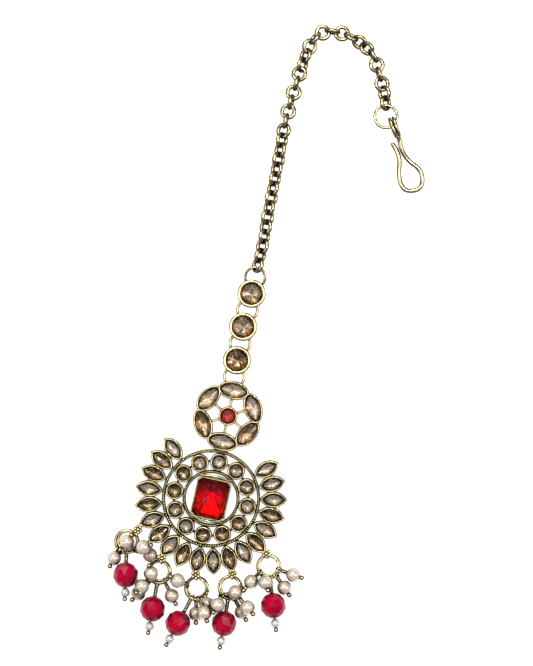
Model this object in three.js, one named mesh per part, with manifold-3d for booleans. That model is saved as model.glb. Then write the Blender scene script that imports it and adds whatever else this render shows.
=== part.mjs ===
// A maang tikka, the jewel that hangs from the hair onto the forehead, laid flat on a table with its face up.
// Lengths are in millimetres and angles in degrees, with +Z up. The origin is the centre of the medallion's flat
// back, and +Y runs along the jewel towards the hair chain and its hook.
import * as THREE from "three";
import { mergeVertices } from "three/addons/utils/BufferGeometryUtils.js";
import Module from "manifold-3d";

const wasm = await Module();
wasm.setup();

// Clearances and shared heights
const CLEARANCE = 0.1; // between a wire and the loop round it, and between a stone and its cup
const RUNNING_GAP = 0.26; // between the last loop of a string and the ring that it hangs on
const BEZEL_TOP = 2.6; // rim of every small setting of the frame
const STRIP_HEIGHT = 1.5; // rings and bars of the frame
const RIM = 0.42; // width of a setting's metal rim
const STONE_RISE = 0.5; // crown of a small stone above its rim
const TABLE_SHARE = 0.5; // table of a stone, as a share of its outline
const BACK_SHARE = 0.82; // flat back of a loose stone
const BITE = 0.1; // how far soldered pieces run into each other
const EYE_CLEARANCE = 0.15; // between a ring's wire and the eye round it

// Medallion
const OUTER_RING_RADIUS = 12.3;
const INNER_RING_RADIUS = 7.15;
const RING_STRIP = 0.85;
const ROUND_COUNT = 12;
const PETAL_COUNT = 19;
const PETAL_LENGTH = 7.0;
const PETAL_WIDTH = 3.8;
const PETAL_FIRST = 40.25; // direction of the first petal; the last one mirrors it across the Y axis

// Octagon stone in the middle of the medallion
const OCTAGON_WIDTH = 7.7;
const OCTAGON_LENGTH = 9.3;
const OCTAGON_CORNER = 1.1;
const OCTAGON_WALL = 0.38;
const OCTAGON_FLOOR = 1.0;
const OCTAGON_RIM = 3.0;
const OCTAGON_CROWN = 1.25;
const OCTAGON_STEPS = [{ share: 0.8, rise: 0.6 }]; // step cut: share of the outline, and rise up the crown
const OCTAGON_BAR = 0.65; // chord bars that carry the setting

// Flower above the medallion
const FLOWER_X = -0.3;
const OVAL_COUNT = 6;
const OVAL_LENGTH = 7.9;
const OVAL_WIDTH = 4.7;
const OVAL_ORBIT = 6.55;
const OVAL_FLOOR = 1.8;
const FLOWER_CUP_RADIUS = 2.4;
const SPOKE_WIDTH = 0.7;

// Links of three set stones between the flower and the chain
const LINK_CUP_RADIUS = 3.55;
const LINK_CUP_WALL = 0.6;
const LINK_CUP_FLOOR = 0.48;
const LINK_CUP_DEPTH = 1.5;
const LINK_SWAY = [-1.1, -1.4, -1.1]; // sideways place of each link, from the flower up
const LINK_EYE_OFFSET = 1.75; // from a link's centre to the eye under its edge
const FLOWER_EYE_OFFSET = 0.8; // the same, from the top oval's centre
const LINK_RING_RADIUS = 2.49;
const LINK_RING_WIRE = 0.72;
const EYE_WIRE = 0.4;

// Hair chain
const CHAIN_COUNT = 37;
const CHAIN_LINK_RADIUS = 1.5;
const CHAIN_WIRE = 0.62;
const CHAIN_BITE = 0.06; // neighbouring links touch, and are one body

// End ring and hook
const END_RING_RADIUS = 2.8;
const END_RING_WIRE = 0.7;
const HOOK_WIRE = 1.0;
const HOOK_DIRECTION = -56.9;
const HOOK_PLACE = { x: 2.6, y: -2.1 }; // from the middle of the end ring to the middle of the hook's eye
const HOOK_REACH = 16.5; // from the middle of the eye to the middle of the wire at the far end
const HOOK_EYE_LENGTH = 5.4;
const HOOK_EYE_HEIGHT = 3.2;
const HOOK_EYE_STRIP = 0.6;
const HOOK_EYE_WIDTH = 1.7;
const HOOK_SINK_POINTS = 4; // over these points of its route the hook's wire sinks from its eye to the table

// Drops on the lower petals
const DROP_RING_RADIUS = 2.78;
const DROP_RING_WIRE = 0.75;
const PIN_WIRE = 0.4;
const PIN_STEM = 0.6;
const PIN_HEAD_RADIUS = 0.66;
const PEARL_RADIUS = 1.85;
const SEED_RADIUS = 1.2;
const RED_BEAD_RADIUS = 3.25;
const LUG_WIDTH = 1.1;

// Numbers of sides of the meshed round forms
const WIRE_SIDES = 5;
const RING_SIDES = 12;
const LINK_SIDES = 10;
const EYE_SIDES = 8;

// Where the chain lies, as [x, y] from the centre of its first link, in link pitches. The chosen points follow its
// middle line.
const CHAIN_ROUTE = [
  [0, 0], [0.04, 2.3], [-0.1, 5.33], [-0.18, 8.4], [-0.27, 11.48], [-0.39, 14.51], [-0.29, 16.64],
  [-0.16, 18.69], [0.02, 20.66], [0.27, 22.5], [0.86, 24.14], [1.84, 24.84], [2.85, 24.96], [3.85, 24.9],
  [4.88, 24.63], [5.78, 24.22], [6.6, 23.69], [7.25, 22.99], [7.7, 22.09], [8.2, 21.19], [8.69, 20.29],
  [9.06, 19.43], [9.3, 18.52], [9.47, 17.62],
];

// How the chain is twisted: the tilt of the odd links, in degrees from lying flat, at some links along it.
const CHAIN_TWIST = [
  { link: 1, tilt: 45 }, { link: 14, tilt: 45 }, { link: 16, tilt: 8 }, { link: 20, tilt: 0 },
  { link: 22, tilt: 38 }, { link: 24, tilt: 62 }, { link: 26, tilt: 90 }, { link: 28, tilt: 90 },
  { link: 30, tilt: 55 }, { link: 31, tilt: 35 }, { link: 32, tilt: 8 }, { link: 34, tilt: 5 },
  { link: 36, tilt: 40 }, { link: 37, tilt: 45 },
];

// The wire of the hook, as [along, across] from the middle of its eye, in the hook's own direction and in shares of
// its reach
const HOOK_ROUTE = [
  [0.139, 0], [0.2, 0.006], [0.339, -0.012], [0.473, 0.006], [0.594, 0.055], [0.679, 0.109],
  [0.782, 0.139], [0.867, 0.127], [0.945, 0.091], [1, 0.018], [0.994, -0.085], [0.939, -0.176],
  [0.848, -0.206], [0.733, -0.194], [0.624, -0.158], [0.533, -0.115], [0.436, -0.091], [0.321, -0.091],
  [0.236, -0.109],
];

// The drops, from left to right. petal: the petal whose tip carries the drop's eye. bearing: the direction of the eye
// from the middle of the medallion. past: how far past the petals' tips it is. hang: the direction in which the ring
// lies from the eye. red: the place of the red bead, and pearls: the places of the four pearls, as x and y from the
// middle of the ring. seat: the direction of the spot on the ring where a pearl hangs. rise: how far a pearl lies
// above the table, on others. past, x and y are in drop ring radii, and rise is in pearl radii.
const DROPS = [
  {
    petal: 13, bearing: -142, past: 0.65, hang: -130, red: { x: 0.58, y: -2.88 },
    pearls: [
      { x: 0.07, y: -0.04, seat: -105, rise: 0.11 }, { x: 1.62, y: -0.07, seat: -30, rise: 1.57 },
      { x: 2.3, y: -0.72, seat: -42, rise: 0 }, { x: -0.79, y: -1.69, seat: -125, rise: 0 },
    ],
  },
  {
    petal: 11, bearing: -115.6, past: 0.29, hang: -92, red: { x: 0.14, y: -3.27 },
    pearls: [
      { x: -0.68, y: -0.18, seat: -110, rise: 1.03 }, { x: -1.22, y: -1.44, seat: -140, rise: 1.62 },
      { x: -1.4, y: -2.23, seat: -122, rise: 0 }, { x: 1.55, y: -1.8, seat: -48, rise: 0 },
    ],
  },
  {
    petal: 9, bearing: -88, past: 0.34, hang: -77, red: { x: -0.97, y: -3.31 },
    pearls: [
      { x: -1.83, y: 0.43, seat: 172, rise: 1.03 }, { x: 0.43, y: -2.19, seat: -80, rise: 0 },
      { x: 1.12, y: -1.83, seat: -60, rise: 1.68 }, { x: 1.22, y: -1.12, seat: -38, rise: 0 },
    ],
  },
  {
    petal: 7, bearing: -62.3, past: 0.43, hang: -90, red: { x: 0.14, y: -3.17 },
    pearls: [
      { x: -0.79, y: -1.62, seat: -122, rise: 1.57 }, { x: 0.54, y: -0.25, seat: -125, rise: 0.43 },
      { x: 1.47, y: -1.87, seat: -57, rise: 0 }, { x: 1.87, y: -1.26, seat: -34, rise: 1.68 },
    ],
  },
  {
    petal: 5, bearing: -32.8, past: 0.36, hang: -73, red: { x: 1.12, y: -3.24 },
    pearls: [
      { x: -1.26, y: -1.62, seat: -135, rise: 0 }, { x: 0, y: -1.37, seat: -104, rise: 0.86 },
      { x: 2.3, y: -0.22, seat: -5, rise: 0 }, { x: 1.76, y: -1.51, seat: -38, rise: 0.11 },
    ],
  },
];

const antiqueGold = new THREE.MeshStandardMaterial({ color: 0xb79a4e, metalness: 1, roughness: 0.35 });
const brightGold = new THREE.MeshStandardMaterial({ color: 0xd9c078, metalness: 1, roughness: 0.25 });
const champagne = new THREE.MeshStandardMaterial({ color: 0x9c7a5c, metalness: 0.1, roughness: 0.08 });
const ruby = new THREE.MeshStandardMaterial({ color: 0xc40a14, metalness: 0, roughness: 0.06 });
const redGlass = new THREE.MeshStandardMaterial({ color: 0xa8062a, metalness: 0, roughness: 0.15 });
const pearlWhite = new THREE.MeshStandardMaterial({ color: 0xd8c9b4, metalness: 0, roughness: 0.22 });

const up = new THREE.Vector3(0, 0, 1);
const radians = THREE.MathUtils.degToRad;

function heading(degrees, length = 1) {
  return new THREE.Vector2(Math.cos(radians(degrees)), Math.sin(radians(degrees))).multiplyScalar(length);
}

// Solids and meshes

function toSolid(geometry) {
  const bare = geometry.index ? geometry.toNonIndexed() : geometry.clone();
  bare.deleteAttribute("normal");
  bare.deleteAttribute("uv");
  const merged = mergeVertices(bare, 1e-4);
  const corners = [];
  for (let i = 0; i < merged.index.count; i += 3) {
    const [a, b, c] = [0, 1, 2].map((k) => merged.index.getX(i + k));
    if (a !== b && b !== c && c !== a) corners.push(a, b, c);
  }
  return new wasm.Manifold(new wasm.Mesh({
    numProp: 3,
    vertProperties: merged.attributes.position.array,
    triVerts: new Uint32Array(corners),
  }));
}

function toGeometry(solid) {
  const mesh = solid.getMesh();
  const indexed = new THREE.BufferGeometry();
  indexed.setAttribute("position", new THREE.BufferAttribute(new Float32Array(mesh.vertProperties), 3));
  indexed.setIndex(new THREE.BufferAttribute(new Uint32Array(mesh.triVerts), 1));
  const faceted = indexed.toNonIndexed();
  faceted.computeVertexNormals();
  return faceted;
}

function join(solids) {
  return solids.reduce((whole, next) => whole.add(next));
}

function node(name, solid, material) {
  const mesh = new THREE.Mesh(toGeometry(solid), material);
  mesh.name = name;
  return mesh;
}

// Outlines, as closed lists of points in the XY plane, anticlockwise

function ellipse(halfLength, halfWidth, sides) {
  return Array.from({ length: sides }, (_, i) => {
    const angle = (2 * Math.PI * i) / sides;
    return new THREE.Vector2(halfLength * Math.cos(angle), halfWidth * Math.sin(angle));
  });
}

function circle(radius, sides) {
  return ellipse(radius, radius, sides);
}

// Two arcs that meet in points on the X axis, each in a few chords
function lens(halfLength, halfWidth, chords) {
  const radius = (halfLength ** 2 + halfWidth ** 2) / (2 * halfWidth);
  const reach = Math.asin(halfLength / radius);
  const side = Array.from({ length: chords }, (_, i) => {
    const angle = reach - (2 * reach * i) / chords;
    return new THREE.Vector2(radius * Math.sin(angle), radius * Math.cos(angle) - radius + halfWidth);
  });
  return [...side, ...side.map((p) => p.clone().negate())];
}

function octagon(halfWidth, halfLength, corner) {
  const [w, l] = [halfWidth, halfLength];
  return [
    [w, -l + corner], [w, l - corner], [w - corner, l], [-w + corner, l],
    [-w, l - corner], [-w, -l + corner], [-w + corner, -l], [w - corner, -l],
  ].map(([x, y]) => new THREE.Vector2(x, y));
}

function scaled(points, share) {
  return points.map((p) => p.clone().multiplyScalar(share));
}

function placed(points, x, y, turn = 0) {
  const centre = new THREE.Vector2();
  return points.map((p) => p.clone().rotateAround(centre, radians(turn)).add(new THREE.Vector2(x, y)));
}

// Forms

function prism(points, bottom, top) {
  const shape = new THREE.ExtrudeGeometry(new THREE.Shape(points), { depth: top - bottom, bevelEnabled: false });
  return toSolid(shape.translate(0, 0, bottom));
}

// A closed form through sections from the lowest to the last, each a convex outline at a height
function loft(sections) {
  const sides = sections[0].points.length;
  const corners = sections.flatMap(({ points, z }) => points.map((p) => [p.x, p.y, z]));
  const faces = [];
  for (let s = 0; s < sections.length - 1; s++) {
    for (let i = 0; i < sides; i++) {
      const [a, b] = [s * sides + i, s * sides + ((i + 1) % sides)];
      faces.push(a, b, b + sides, a, b + sides, a + sides);
    }
  }
  const last = (sections.length - 1) * sides;
  for (let i = 1; i < sides - 1; i++) faces.push(0, i + 1, i, last, last + i, last + i + 1);
  const geometry = new THREE.BufferGeometry();
  geometry.setAttribute("position", new THREE.Float32BufferAttribute(corners.flat(), 3));
  geometry.setIndex(faces);
  return toSolid(geometry);
}

// A bar of metal between two points in plan
function bar(from, to, width, bottom, top) {
  const along = to.clone().sub(from);
  const half = [along.length() / 2, width / 2];
  const outline = [[1, -1], [1, 1], [-1, 1], [-1, -1]].map(([u, v]) => new THREE.Vector2(u * half[0], v * half[1]));
  const middle = from.clone().add(to).multiplyScalar(0.5);
  return prism(placed(outline, middle.x, middle.y, THREE.MathUtils.radToDeg(along.angle())), bottom, top);
}

// A flat strip bent into a ring
function stripRing(outerRadius, width, top, sides) {
  return prism(circle(outerRadius, sides), 0, top).subtract(
    prism(circle(outerRadius - width, sides), -BITE, top + BITE),
  );
}

// A ring of round wire in the XY plane. A corner of the wire's section faces the middle of the ring.
function wireRing(radius, wire, sides) {
  const profile = Array.from({ length: WIRE_SIDES + 1 }, (_, i) => {
    const angle = (2 * Math.PI * i) / WIRE_SIDES;
    return new THREE.Vector2(radius - (wire / 2) * Math.cos(angle), -(wire / 2) * Math.sin(angle));
  });
  return new THREE.LatheGeometry(profile, sides).rotateX(Math.PI / 2);
}

// A ring that stands on edge, in the vertical plane through a direction in plan
function standingEye(radius, wire, place, turn) {
  const ring = wireRing(radius, wire, EYE_SIDES).rotateX(Math.PI / 2).rotateZ(radians(turn));
  return toSolid(ring.translate(place.x, place.y, radius + wire / 2));
}

function wireAlong(points, wire, steps) {
  const section = new THREE.Shape(circle(wire / 2, WIRE_SIDES));
  const path = new THREE.CatmullRomCurve3(points);
  return toSolid(new THREE.ExtrudeGeometry(section, { steps, bevelEnabled: false, extrudePath: path }));
}

// A setting with its stone in one: wall, crown and table
function setStone(outline) {
  return [
    { points: outline, z: 0 },
    { points: outline, z: BEZEL_TOP },
    { points: scaled(outline, TABLE_SHARE), z: BEZEL_TOP + STONE_RISE },
  ];
}

function loftAt(sections, x, y, turn) {
  return loft(sections.map(({ points, z }) => ({ points: placed(points, x, y, turn), z })));
}

// A loose cut stone: a back that tapers, a girdle, a crown of one or more steps and a table
function looseStone(outline, bottom, girdle, top, steps = []) {
  const crown = top - girdle;
  return loft([
    { points: scaled(outline, BACK_SHARE), z: bottom },
    { points: outline, z: girdle },
    ...steps.map(({ share, rise }) => ({ points: scaled(outline, share), z: girdle + crown * rise })),
    { points: scaled(outline, TABLE_SHARE), z: top },
  ]);
}

// Sizes that follow from the ones above
const linkEyeRadius = (LINK_RING_WIRE + EYE_WIRE) / 2 + EYE_CLEARANCE;
const linkRingHeight = linkEyeRadius + EYE_WIRE / 2;
const linkCupBottom = linkRingHeight + LINK_RING_WIRE / 2 + RUNNING_GAP;
const linkCupFloor = linkCupBottom + LINK_CUP_FLOOR;
const linkCupTop = linkCupFloor + LINK_CUP_DEPTH;
const linkPitch = 2 * (LINK_EYE_OFFSET + LINK_RING_RADIUS);
const dropEyeRadius = (DROP_RING_WIRE + EYE_WIRE) / 2 + EYE_CLEARANCE;
const dropRingHeight = dropEyeRadius + EYE_WIRE / 2;
const chainPitch = 2 * CHAIN_LINK_RADIUS - CHAIN_WIRE + CHAIN_BITE;
const redEyeRadius = dropEyeRadius + CLEARANCE;
const petalPitch = (180 + 2 * PETAL_FIRST) / (PETAL_COUNT - 1);
const petalOrbit = OUTER_RING_RADIUS - 2 * BITE + PETAL_LENGTH / 2;
const roundOrbit = (OUTER_RING_RADIUS - RING_STRIP + INNER_RING_RADIUS) / 2;
const roundRadius = (OUTER_RING_RADIUS - RING_STRIP - INNER_RING_RADIUS) / 2 + BITE;
const flowerY = OUTER_RING_RADIUS - 2 * BITE + OVAL_WIDTH / 2 + OVAL_ORBIT;
const flowerEye = new THREE.Vector2(
  FLOWER_X - LINK_RING_WIRE / 2,
  flowerY + OVAL_ORBIT + FLOWER_EYE_OFFSET,
);
const linkCentres = LINK_SWAY.map(
  (x, i) => new THREE.Vector2(x, flowerEye.y + 2 * LINK_RING_RADIUS + LINK_EYE_OFFSET + i * linkPitch),
);

function petalDirection(index) {
  return PETAL_FIRST - index * petalPitch;
}

// The eye past a petal's tip that holds a drop ring
function dropEyePlace({ bearing, past }) {
  return heading(bearing, petalOrbit + PETAL_LENGTH / 2 + past * DROP_RING_RADIUS);
}

// Frame of the medallion and the flower, one soldered piece with its small stones

function medallionParts() {
  const parts = [
    stripRing(OUTER_RING_RADIUS, RING_STRIP, STRIP_HEIGHT, 36),
    stripRing(INNER_RING_RADIUS, RING_STRIP, STRIP_HEIGHT, 24),
  ];
  const round = setStone(circle(roundRadius, EYE_SIDES));
  for (let i = 0; i < ROUND_COUNT; i++) {
    const place = heading(90 + (360 * i) / ROUND_COUNT, roundOrbit);
    parts.push(loftAt(round, place.x, place.y, (360 * i) / ROUND_COUNT));
  }
  const petal = setStone(lens(PETAL_LENGTH / 2, PETAL_WIDTH / 2, 4));
  for (let i = 0; i < PETAL_COUNT; i++) {
    const place = heading(petalDirection(i), petalOrbit);
    parts.push(loftAt(petal, place.x, place.y, petalDirection(i)));
  }
  return parts;
}

function octagonSetting() {
  const [halfWidth, halfLength] = [OCTAGON_WIDTH / 2 + CLEARANCE, OCTAGON_LENGTH / 2 + CLEARANCE];
  const wall = prism(
    octagon(halfWidth + OCTAGON_WALL, halfLength + OCTAGON_WALL, OCTAGON_CORNER),
    0,
    OCTAGON_RIM,
  );
  const barLine = halfLength + OCTAGON_BAR / 2;
  const barEnd = Math.sqrt((INNER_RING_RADIUS - RING_STRIP / 2) ** 2 - barLine ** 2);
  const bars = [-1, 1].map((side) => bar(
    new THREE.Vector2(-barEnd, side * barLine),
    new THREE.Vector2(barEnd, side * barLine),
    OCTAGON_BAR,
    0,
    STRIP_HEIGHT,
  ));
  return {
    metal: [wall, ...bars],
    hollow: prism(octagon(halfWidth, halfLength, OCTAGON_CORNER), OCTAGON_FLOOR, OCTAGON_RIM + BITE),
  };
}

function flowerParts() {
  const metal = [prism(placed(circle(FLOWER_CUP_RADIUS, LINK_SIDES), FLOWER_X, flowerY), 0, BEZEL_TOP)];
  const hollows = [
    prism(placed(circle(FLOWER_CUP_RADIUS - RIM, LINK_SIDES), FLOWER_X, flowerY), OVAL_FLOOR, BEZEL_TOP + BITE),
  ];
  const hub = new THREE.Vector2(FLOWER_X, flowerY);
  for (let i = 0; i < OVAL_COUNT; i++) {
    const turn = 90 + (360 * i) / OVAL_COUNT;
    const place = hub.clone().add(heading(turn, OVAL_ORBIT));
    const cup = placed(ellipse(OVAL_LENGTH / 2, OVAL_WIDTH / 2, LINK_SIDES), place.x, place.y, turn - 90);
    const seat = placed(ellipse(OVAL_LENGTH / 2 - RIM, OVAL_WIDTH / 2 - RIM, LINK_SIDES), place.x, place.y, turn - 90);
    metal.push(prism(cup, 0, BEZEL_TOP));
    hollows.push(prism(seat, OVAL_FLOOR, BEZEL_TOP + BITE));
    metal.push(bar(
      hub.clone().add(heading(turn, FLOWER_CUP_RADIUS - 3 * BITE)),
      hub.clone().add(heading(turn, OVAL_ORBIT - OVAL_WIDTH / 2 + 3 * BITE)),
      SPOKE_WIDTH,
      0,
      STRIP_HEIGHT,
    ));
  }
  return { metal, hollows };
}

// Room under the top oval for the ring that passes behind it
function ringNotch() {
  const reach = LINK_RING_RADIUS + LINK_RING_WIRE / 2 + 2 * CLEARANCE;
  const centre = flowerEye.y + LINK_RING_RADIUS;
  const sideways = (flowerEye.x + linkCentres[0].x) / 2;
  return prism(placed(circle(reach, 16), sideways, centre), -BITE, linkCupBottom);
}

function frame() {
  const octagonPart = octagonSetting();
  const flower = flowerParts();
  const eyes = DROPS.map((drop) => standingEye(dropEyeRadius, EYE_WIRE, dropEyePlace(drop), drop.hang));
  const lugs = DROPS.map((drop) => {
    const tip = heading(petalDirection(drop.petal), petalOrbit + PETAL_LENGTH / 2 - LUG_WIDTH / 2);
    return bar(tip, dropEyePlace(drop), LUG_WIDTH, dropRingHeight + dropEyeRadius - EYE_WIRE / 2, BEZEL_TOP);
  });
  const metal = join([...medallionParts(), ...octagonPart.metal, ...flower.metal, ...lugs]);
  const cut = metal.subtract(join([octagonPart.hollow, ...flower.hollows, ringNotch()]));
  return join([cut, standingEye(linkEyeRadius, EYE_WIRE, flowerEye, 90), ...eyes]);
}

// Loose stones of the frame

function frameStones() {
  const stones = [node("octagon_stone", looseStone(
    octagon(OCTAGON_WIDTH / 2, OCTAGON_LENGTH / 2, OCTAGON_CORNER),
    OCTAGON_FLOOR + CLEARANCE,
    OCTAGON_RIM,
    OCTAGON_RIM + OCTAGON_CROWN,
    OCTAGON_STEPS,
  ), ruby)];
  const seat = OVAL_FLOOR + CLEARANCE;
  const centre = node("flower_stone", looseStone(
    circle(FLOWER_CUP_RADIUS - RIM - CLEARANCE, LINK_SIDES),
    seat,
    BEZEL_TOP,
    BEZEL_TOP + STONE_RISE,
  ), ruby);
  centre.position.set(FLOWER_X, flowerY, 0);
  stones.push(centre);
  const inset = RIM + CLEARANCE;
  const oval = looseStone(
    ellipse(OVAL_LENGTH / 2 - inset, OVAL_WIDTH / 2 - inset, LINK_SIDES),
    seat,
    BEZEL_TOP,
    BEZEL_TOP + STONE_RISE,
  );
  for (let i = 0; i < OVAL_COUNT; i++) {
    const turn = 90 + (360 * i) / OVAL_COUNT;
    const stone = node("oval_stone_" + (i + 1), oval, champagne);
    const place = heading(turn, OVAL_ORBIT);
    stone.position.set(FLOWER_X + place.x, flowerY + place.y, 0);
    stone.rotation.z = radians(turn - 90);
    stones.push(stone);
  }
  return stones;
}

// The three set links and the rings that join them

function linkBezel() {
  const cup = prism(circle(LINK_CUP_RADIUS, RING_SIDES), linkCupBottom, linkCupTop).subtract(
    prism(circle(LINK_CUP_RADIUS - LINK_CUP_WALL, RING_SIDES), linkCupFloor, linkCupTop + BITE),
  );
  const eyes = [-1, 1].map((side) => standingEye(
    linkEyeRadius,
    EYE_WIRE,
    new THREE.Vector2(0, side * LINK_EYE_OFFSET),
    90,
  ));
  return join([cup, ...eyes]);
}

function linkNodes() {
  const group = new THREE.Group();
  const bezel = linkBezel();
  const stone = looseStone(
    circle(LINK_CUP_RADIUS - LINK_CUP_WALL - CLEARANCE, RING_SIDES),
    linkCupFloor + CLEARANCE,
    linkCupTop - STONE_RISE,
    linkCupTop,
  );
  linkCentres.forEach((centre, i) => {
    const link = new THREE.Group();
    link.position.set(centre.x, centre.y, 0);
    link.add(node("link_bezel_" + (i + 1), bezel, antiqueGold), node("link_stone_" + (i + 1), stone, champagne));
    group.add(link);
  });
  const ring = toSolid(wireRing(LINK_RING_RADIUS, LINK_RING_WIRE, LINK_SIDES));
  const below = [flowerEye, ...linkCentres];
  below.slice(0, -1).forEach((lower, i) => {
    const mesh = node("link_ring_" + (i + 1), ring, antiqueGold);
    const upper = linkCentres[i];
    mesh.position.set((lower.x + upper.x) / 2, upper.y - LINK_EYE_OFFSET - LINK_RING_RADIUS, linkRingHeight);
    group.add(mesh);
  });
  const top = node("link_ring_" + below.length, ring, antiqueGold);
  const lean = Math.asin((chainHeight(1) - linkRingHeight) / (2 * LINK_RING_RADIUS));
  top.rotation.x = lean;
  top.position.set(
    linkCentres.at(-1).x,
    linkCentres.at(-1).y + LINK_EYE_OFFSET + LINK_RING_RADIUS * Math.cos(lean),
    linkRingHeight + LINK_RING_RADIUS * Math.sin(lean),
  );
  group.add(top);
  return group;
}

// Hair chain

// Tilt of a link about its line, from lying flat: each link stands square to the one before it
function chainTilt(link) {
  const next = CHAIN_TWIST.findIndex((row) => row.link >= link);
  const [from, to] = [CHAIN_TWIST[Math.max(next - 1, 0)], CHAIN_TWIST[Math.max(next, 1)]];
  const share = (link - from.link) / (to.link - from.link);
  return from.tilt + share * (to.tilt - from.tilt) + (link % 2 ? 0 : 90);
}

// Height of a link's centre, so that it and its neighbours lie on the table
function chainHeight(link) {
  const tilt = radians(chainTilt(link));
  return CHAIN_LINK_RADIUS * Math.max(Math.abs(Math.sin(tilt)), Math.abs(Math.cos(tilt))) + CHAIN_WIRE / 2;
}

function chainStart() {
  const ringTop = linkCentres.at(-1).y + LINK_EYE_OFFSET + 2 * LINK_RING_RADIUS;
  const reach = CHAIN_LINK_RADIUS - (CHAIN_WIRE + LINK_RING_WIRE) / 2 - RUNNING_GAP;
  return new THREE.Vector2(linkCentres.at(-1).x, ringTop + reach);
}

function chainPlaces() {
  const start = chainStart();
  const route = new THREE.CatmullRomCurve3(
    CHAIN_ROUTE.map(([x, y]) => new THREE.Vector3(start.x + x * chainPitch, start.y + y * chainPitch, 0)),
  );
  route.arcLengthDivisions = 2000;
  const length = route.getLength();
  return Array.from({ length: CHAIN_COUNT }, (_, i) => {
    const share = Math.min((i * chainPitch) / length, 1);
    const beyond = Math.max(i * chainPitch - length, 0);
    const along = route.getTangentAt(share);
    const centre = route.getPointAt(share).addScaledVector(along, beyond);
    centre.z = chainHeight(i + 1);
    return { centre, along };
  });
}

function hairChain() {
  const link = wireRing(CHAIN_LINK_RADIUS, CHAIN_WIRE, LINK_SIDES);
  return join(chainPlaces().map(({ centre, along }, i) => {
    const tilt = radians(chainTilt(i + 1));
    const side = new THREE.Vector3().crossVectors(up, along).normalize();
    const face = up.clone().multiplyScalar(Math.cos(tilt)).addScaledVector(side, Math.sin(tilt));
    const across = new THREE.Vector3().crossVectors(face, along);
    const placement = new THREE.Matrix4().makeBasis(along, across, face).setPosition(centre);
    return toSolid(link.clone().applyMatrix4(placement));
  }));
}

// End ring and hook

function endRingCentre() {
  const { centre, along } = chainPlaces().at(-1);
  const reach = END_RING_RADIUS + CHAIN_LINK_RADIUS - (END_RING_WIRE + CHAIN_WIRE) / 2 - RUNNING_GAP;
  return centre.clone().addScaledVector(along, reach);
}

// The hook lies on its side. Its eye is a strip that stands on edge round the end ring's wire.
function hairHook() {
  const [halfLength, halfHeight] = [HOOK_EYE_LENGTH / 2, HOOK_EYE_HEIGHT / 2];
  const outer = prism(ellipse(halfLength, halfHeight, RING_SIDES), 0, HOOK_EYE_WIDTH);
  const inner = ellipse(halfLength - HOOK_EYE_STRIP, halfHeight - HOOK_EYE_STRIP, RING_SIDES);
  const eye = outer.subtract(prism(inner, -BITE, HOOK_EYE_WIDTH + BITE));
  const standing = eye.translate(0, 0, -HOOK_EYE_WIDTH / 2).rotate(90, 0, 0).translate(0, 0, halfHeight);
  const route = HOOK_ROUTE.map(([along, across], i) => {
    const sunk = Math.min(i / HOOK_SINK_POINTS, 1);
    const height = THREE.MathUtils.lerp(halfHeight, HOOK_WIRE / 2, sunk * (2 - sunk));
    return new THREE.Vector3(along * HOOK_REACH, across * HOOK_REACH, height);
  });
  return join([standing, wireAlong(route, HOOK_WIRE, 28)]);
}

function endNodes() {
  const ring = node("end_ring", toSolid(wireRing(END_RING_RADIUS, END_RING_WIRE, LINK_SIDES)), brightGold);
  ring.position.copy(endRingCentre());
  const hook = node("hair_hook", hairHook(), brightGold);
  hook.position.set(ring.position.x + HOOK_PLACE.x, ring.position.y + HOOK_PLACE.y, 0);
  hook.rotation.z = radians(HOOK_DIRECTION);
  return [ring, hook];
}

// Drops

function rod(from, to, width) {
  const along = to.clone().sub(from);
  const form = new THREE.CylinderGeometry(width / 2, width / 2, along.length(), 4, 1);
  const turn = new THREE.Quaternion().setFromUnitVectors(new THREE.Vector3(0, 1, 0), along.clone().normalize());
  const middle = from.clone().add(to).multiplyScalar(0.5);
  return toSolid(form.applyQuaternion(turn).translate(middle.x, middle.y, middle.z));
}

function ball(centre, radius, sides, rows) {
  return toSolid(new THREE.SphereGeometry(radius, sides, rows)).translate(centre.toArray());
}

// A spot on the middle of a drop ring's wire
function ringSeat(seat) {
  const place = heading(seat, DROP_RING_RADIUS);
  return new THREE.Vector3(place.x, place.y, dropRingHeight);
}

// A drop ring with its four pearls, each on a headed pin, about the middle of the ring
function pearlCluster(drop) {
  const ring = toSolid(wireRing(DROP_RING_RADIUS, DROP_RING_WIRE, LINK_SIDES).translate(0, 0, dropRingHeight));
  const pearls = drop.pearls.flatMap(({ x, y, seat, rise }) => {
    const centre = new THREE.Vector3(x * DROP_RING_RADIUS, y * DROP_RING_RADIUS, (1 + rise) * PEARL_RADIUS);
    const from = ringSeat(seat);
    return [ball(centre, PEARL_RADIUS, LINK_SIDES, 4), rod(from, centre, PIN_STEM)];
  });
  return join([ring, ...pearls]);
}

// Where a red bead hangs: the place on the ring, the bead's centre and the line between them
function redLine(drop) {
  const { x, y } = drop.red;
  const from = ringSeat(THREE.MathUtils.radToDeg(Math.atan2(y, x)));
  from.z = redEyeRadius + PIN_WIRE / 2;
  const centre = new THREE.Vector3(x * DROP_RING_RADIUS, y * DROP_RING_RADIUS, RED_BEAD_RADIUS);
  return { from, centre, along: centre.clone().sub(from).normalize() };
}

function redBead(drop) {
  const { centre, along } = redLine(drop);
  const reach = along.clone().multiplyScalar(RED_BEAD_RADIUS + BITE);
  const bore = rod(centre.clone().sub(reach), centre.clone().add(reach), PIN_STEM + 4 * CLEARANCE);
  const turn = new THREE.Quaternion().setFromUnitVectors(new THREE.Vector3(0, 1, 0), along);
  const bead = new THREE.SphereGeometry(RED_BEAD_RADIUS, LINK_SIDES, 5).applyQuaternion(turn);
  return toSolid(bead).translate(centre.toArray()).subtract(bore);
}

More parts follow.
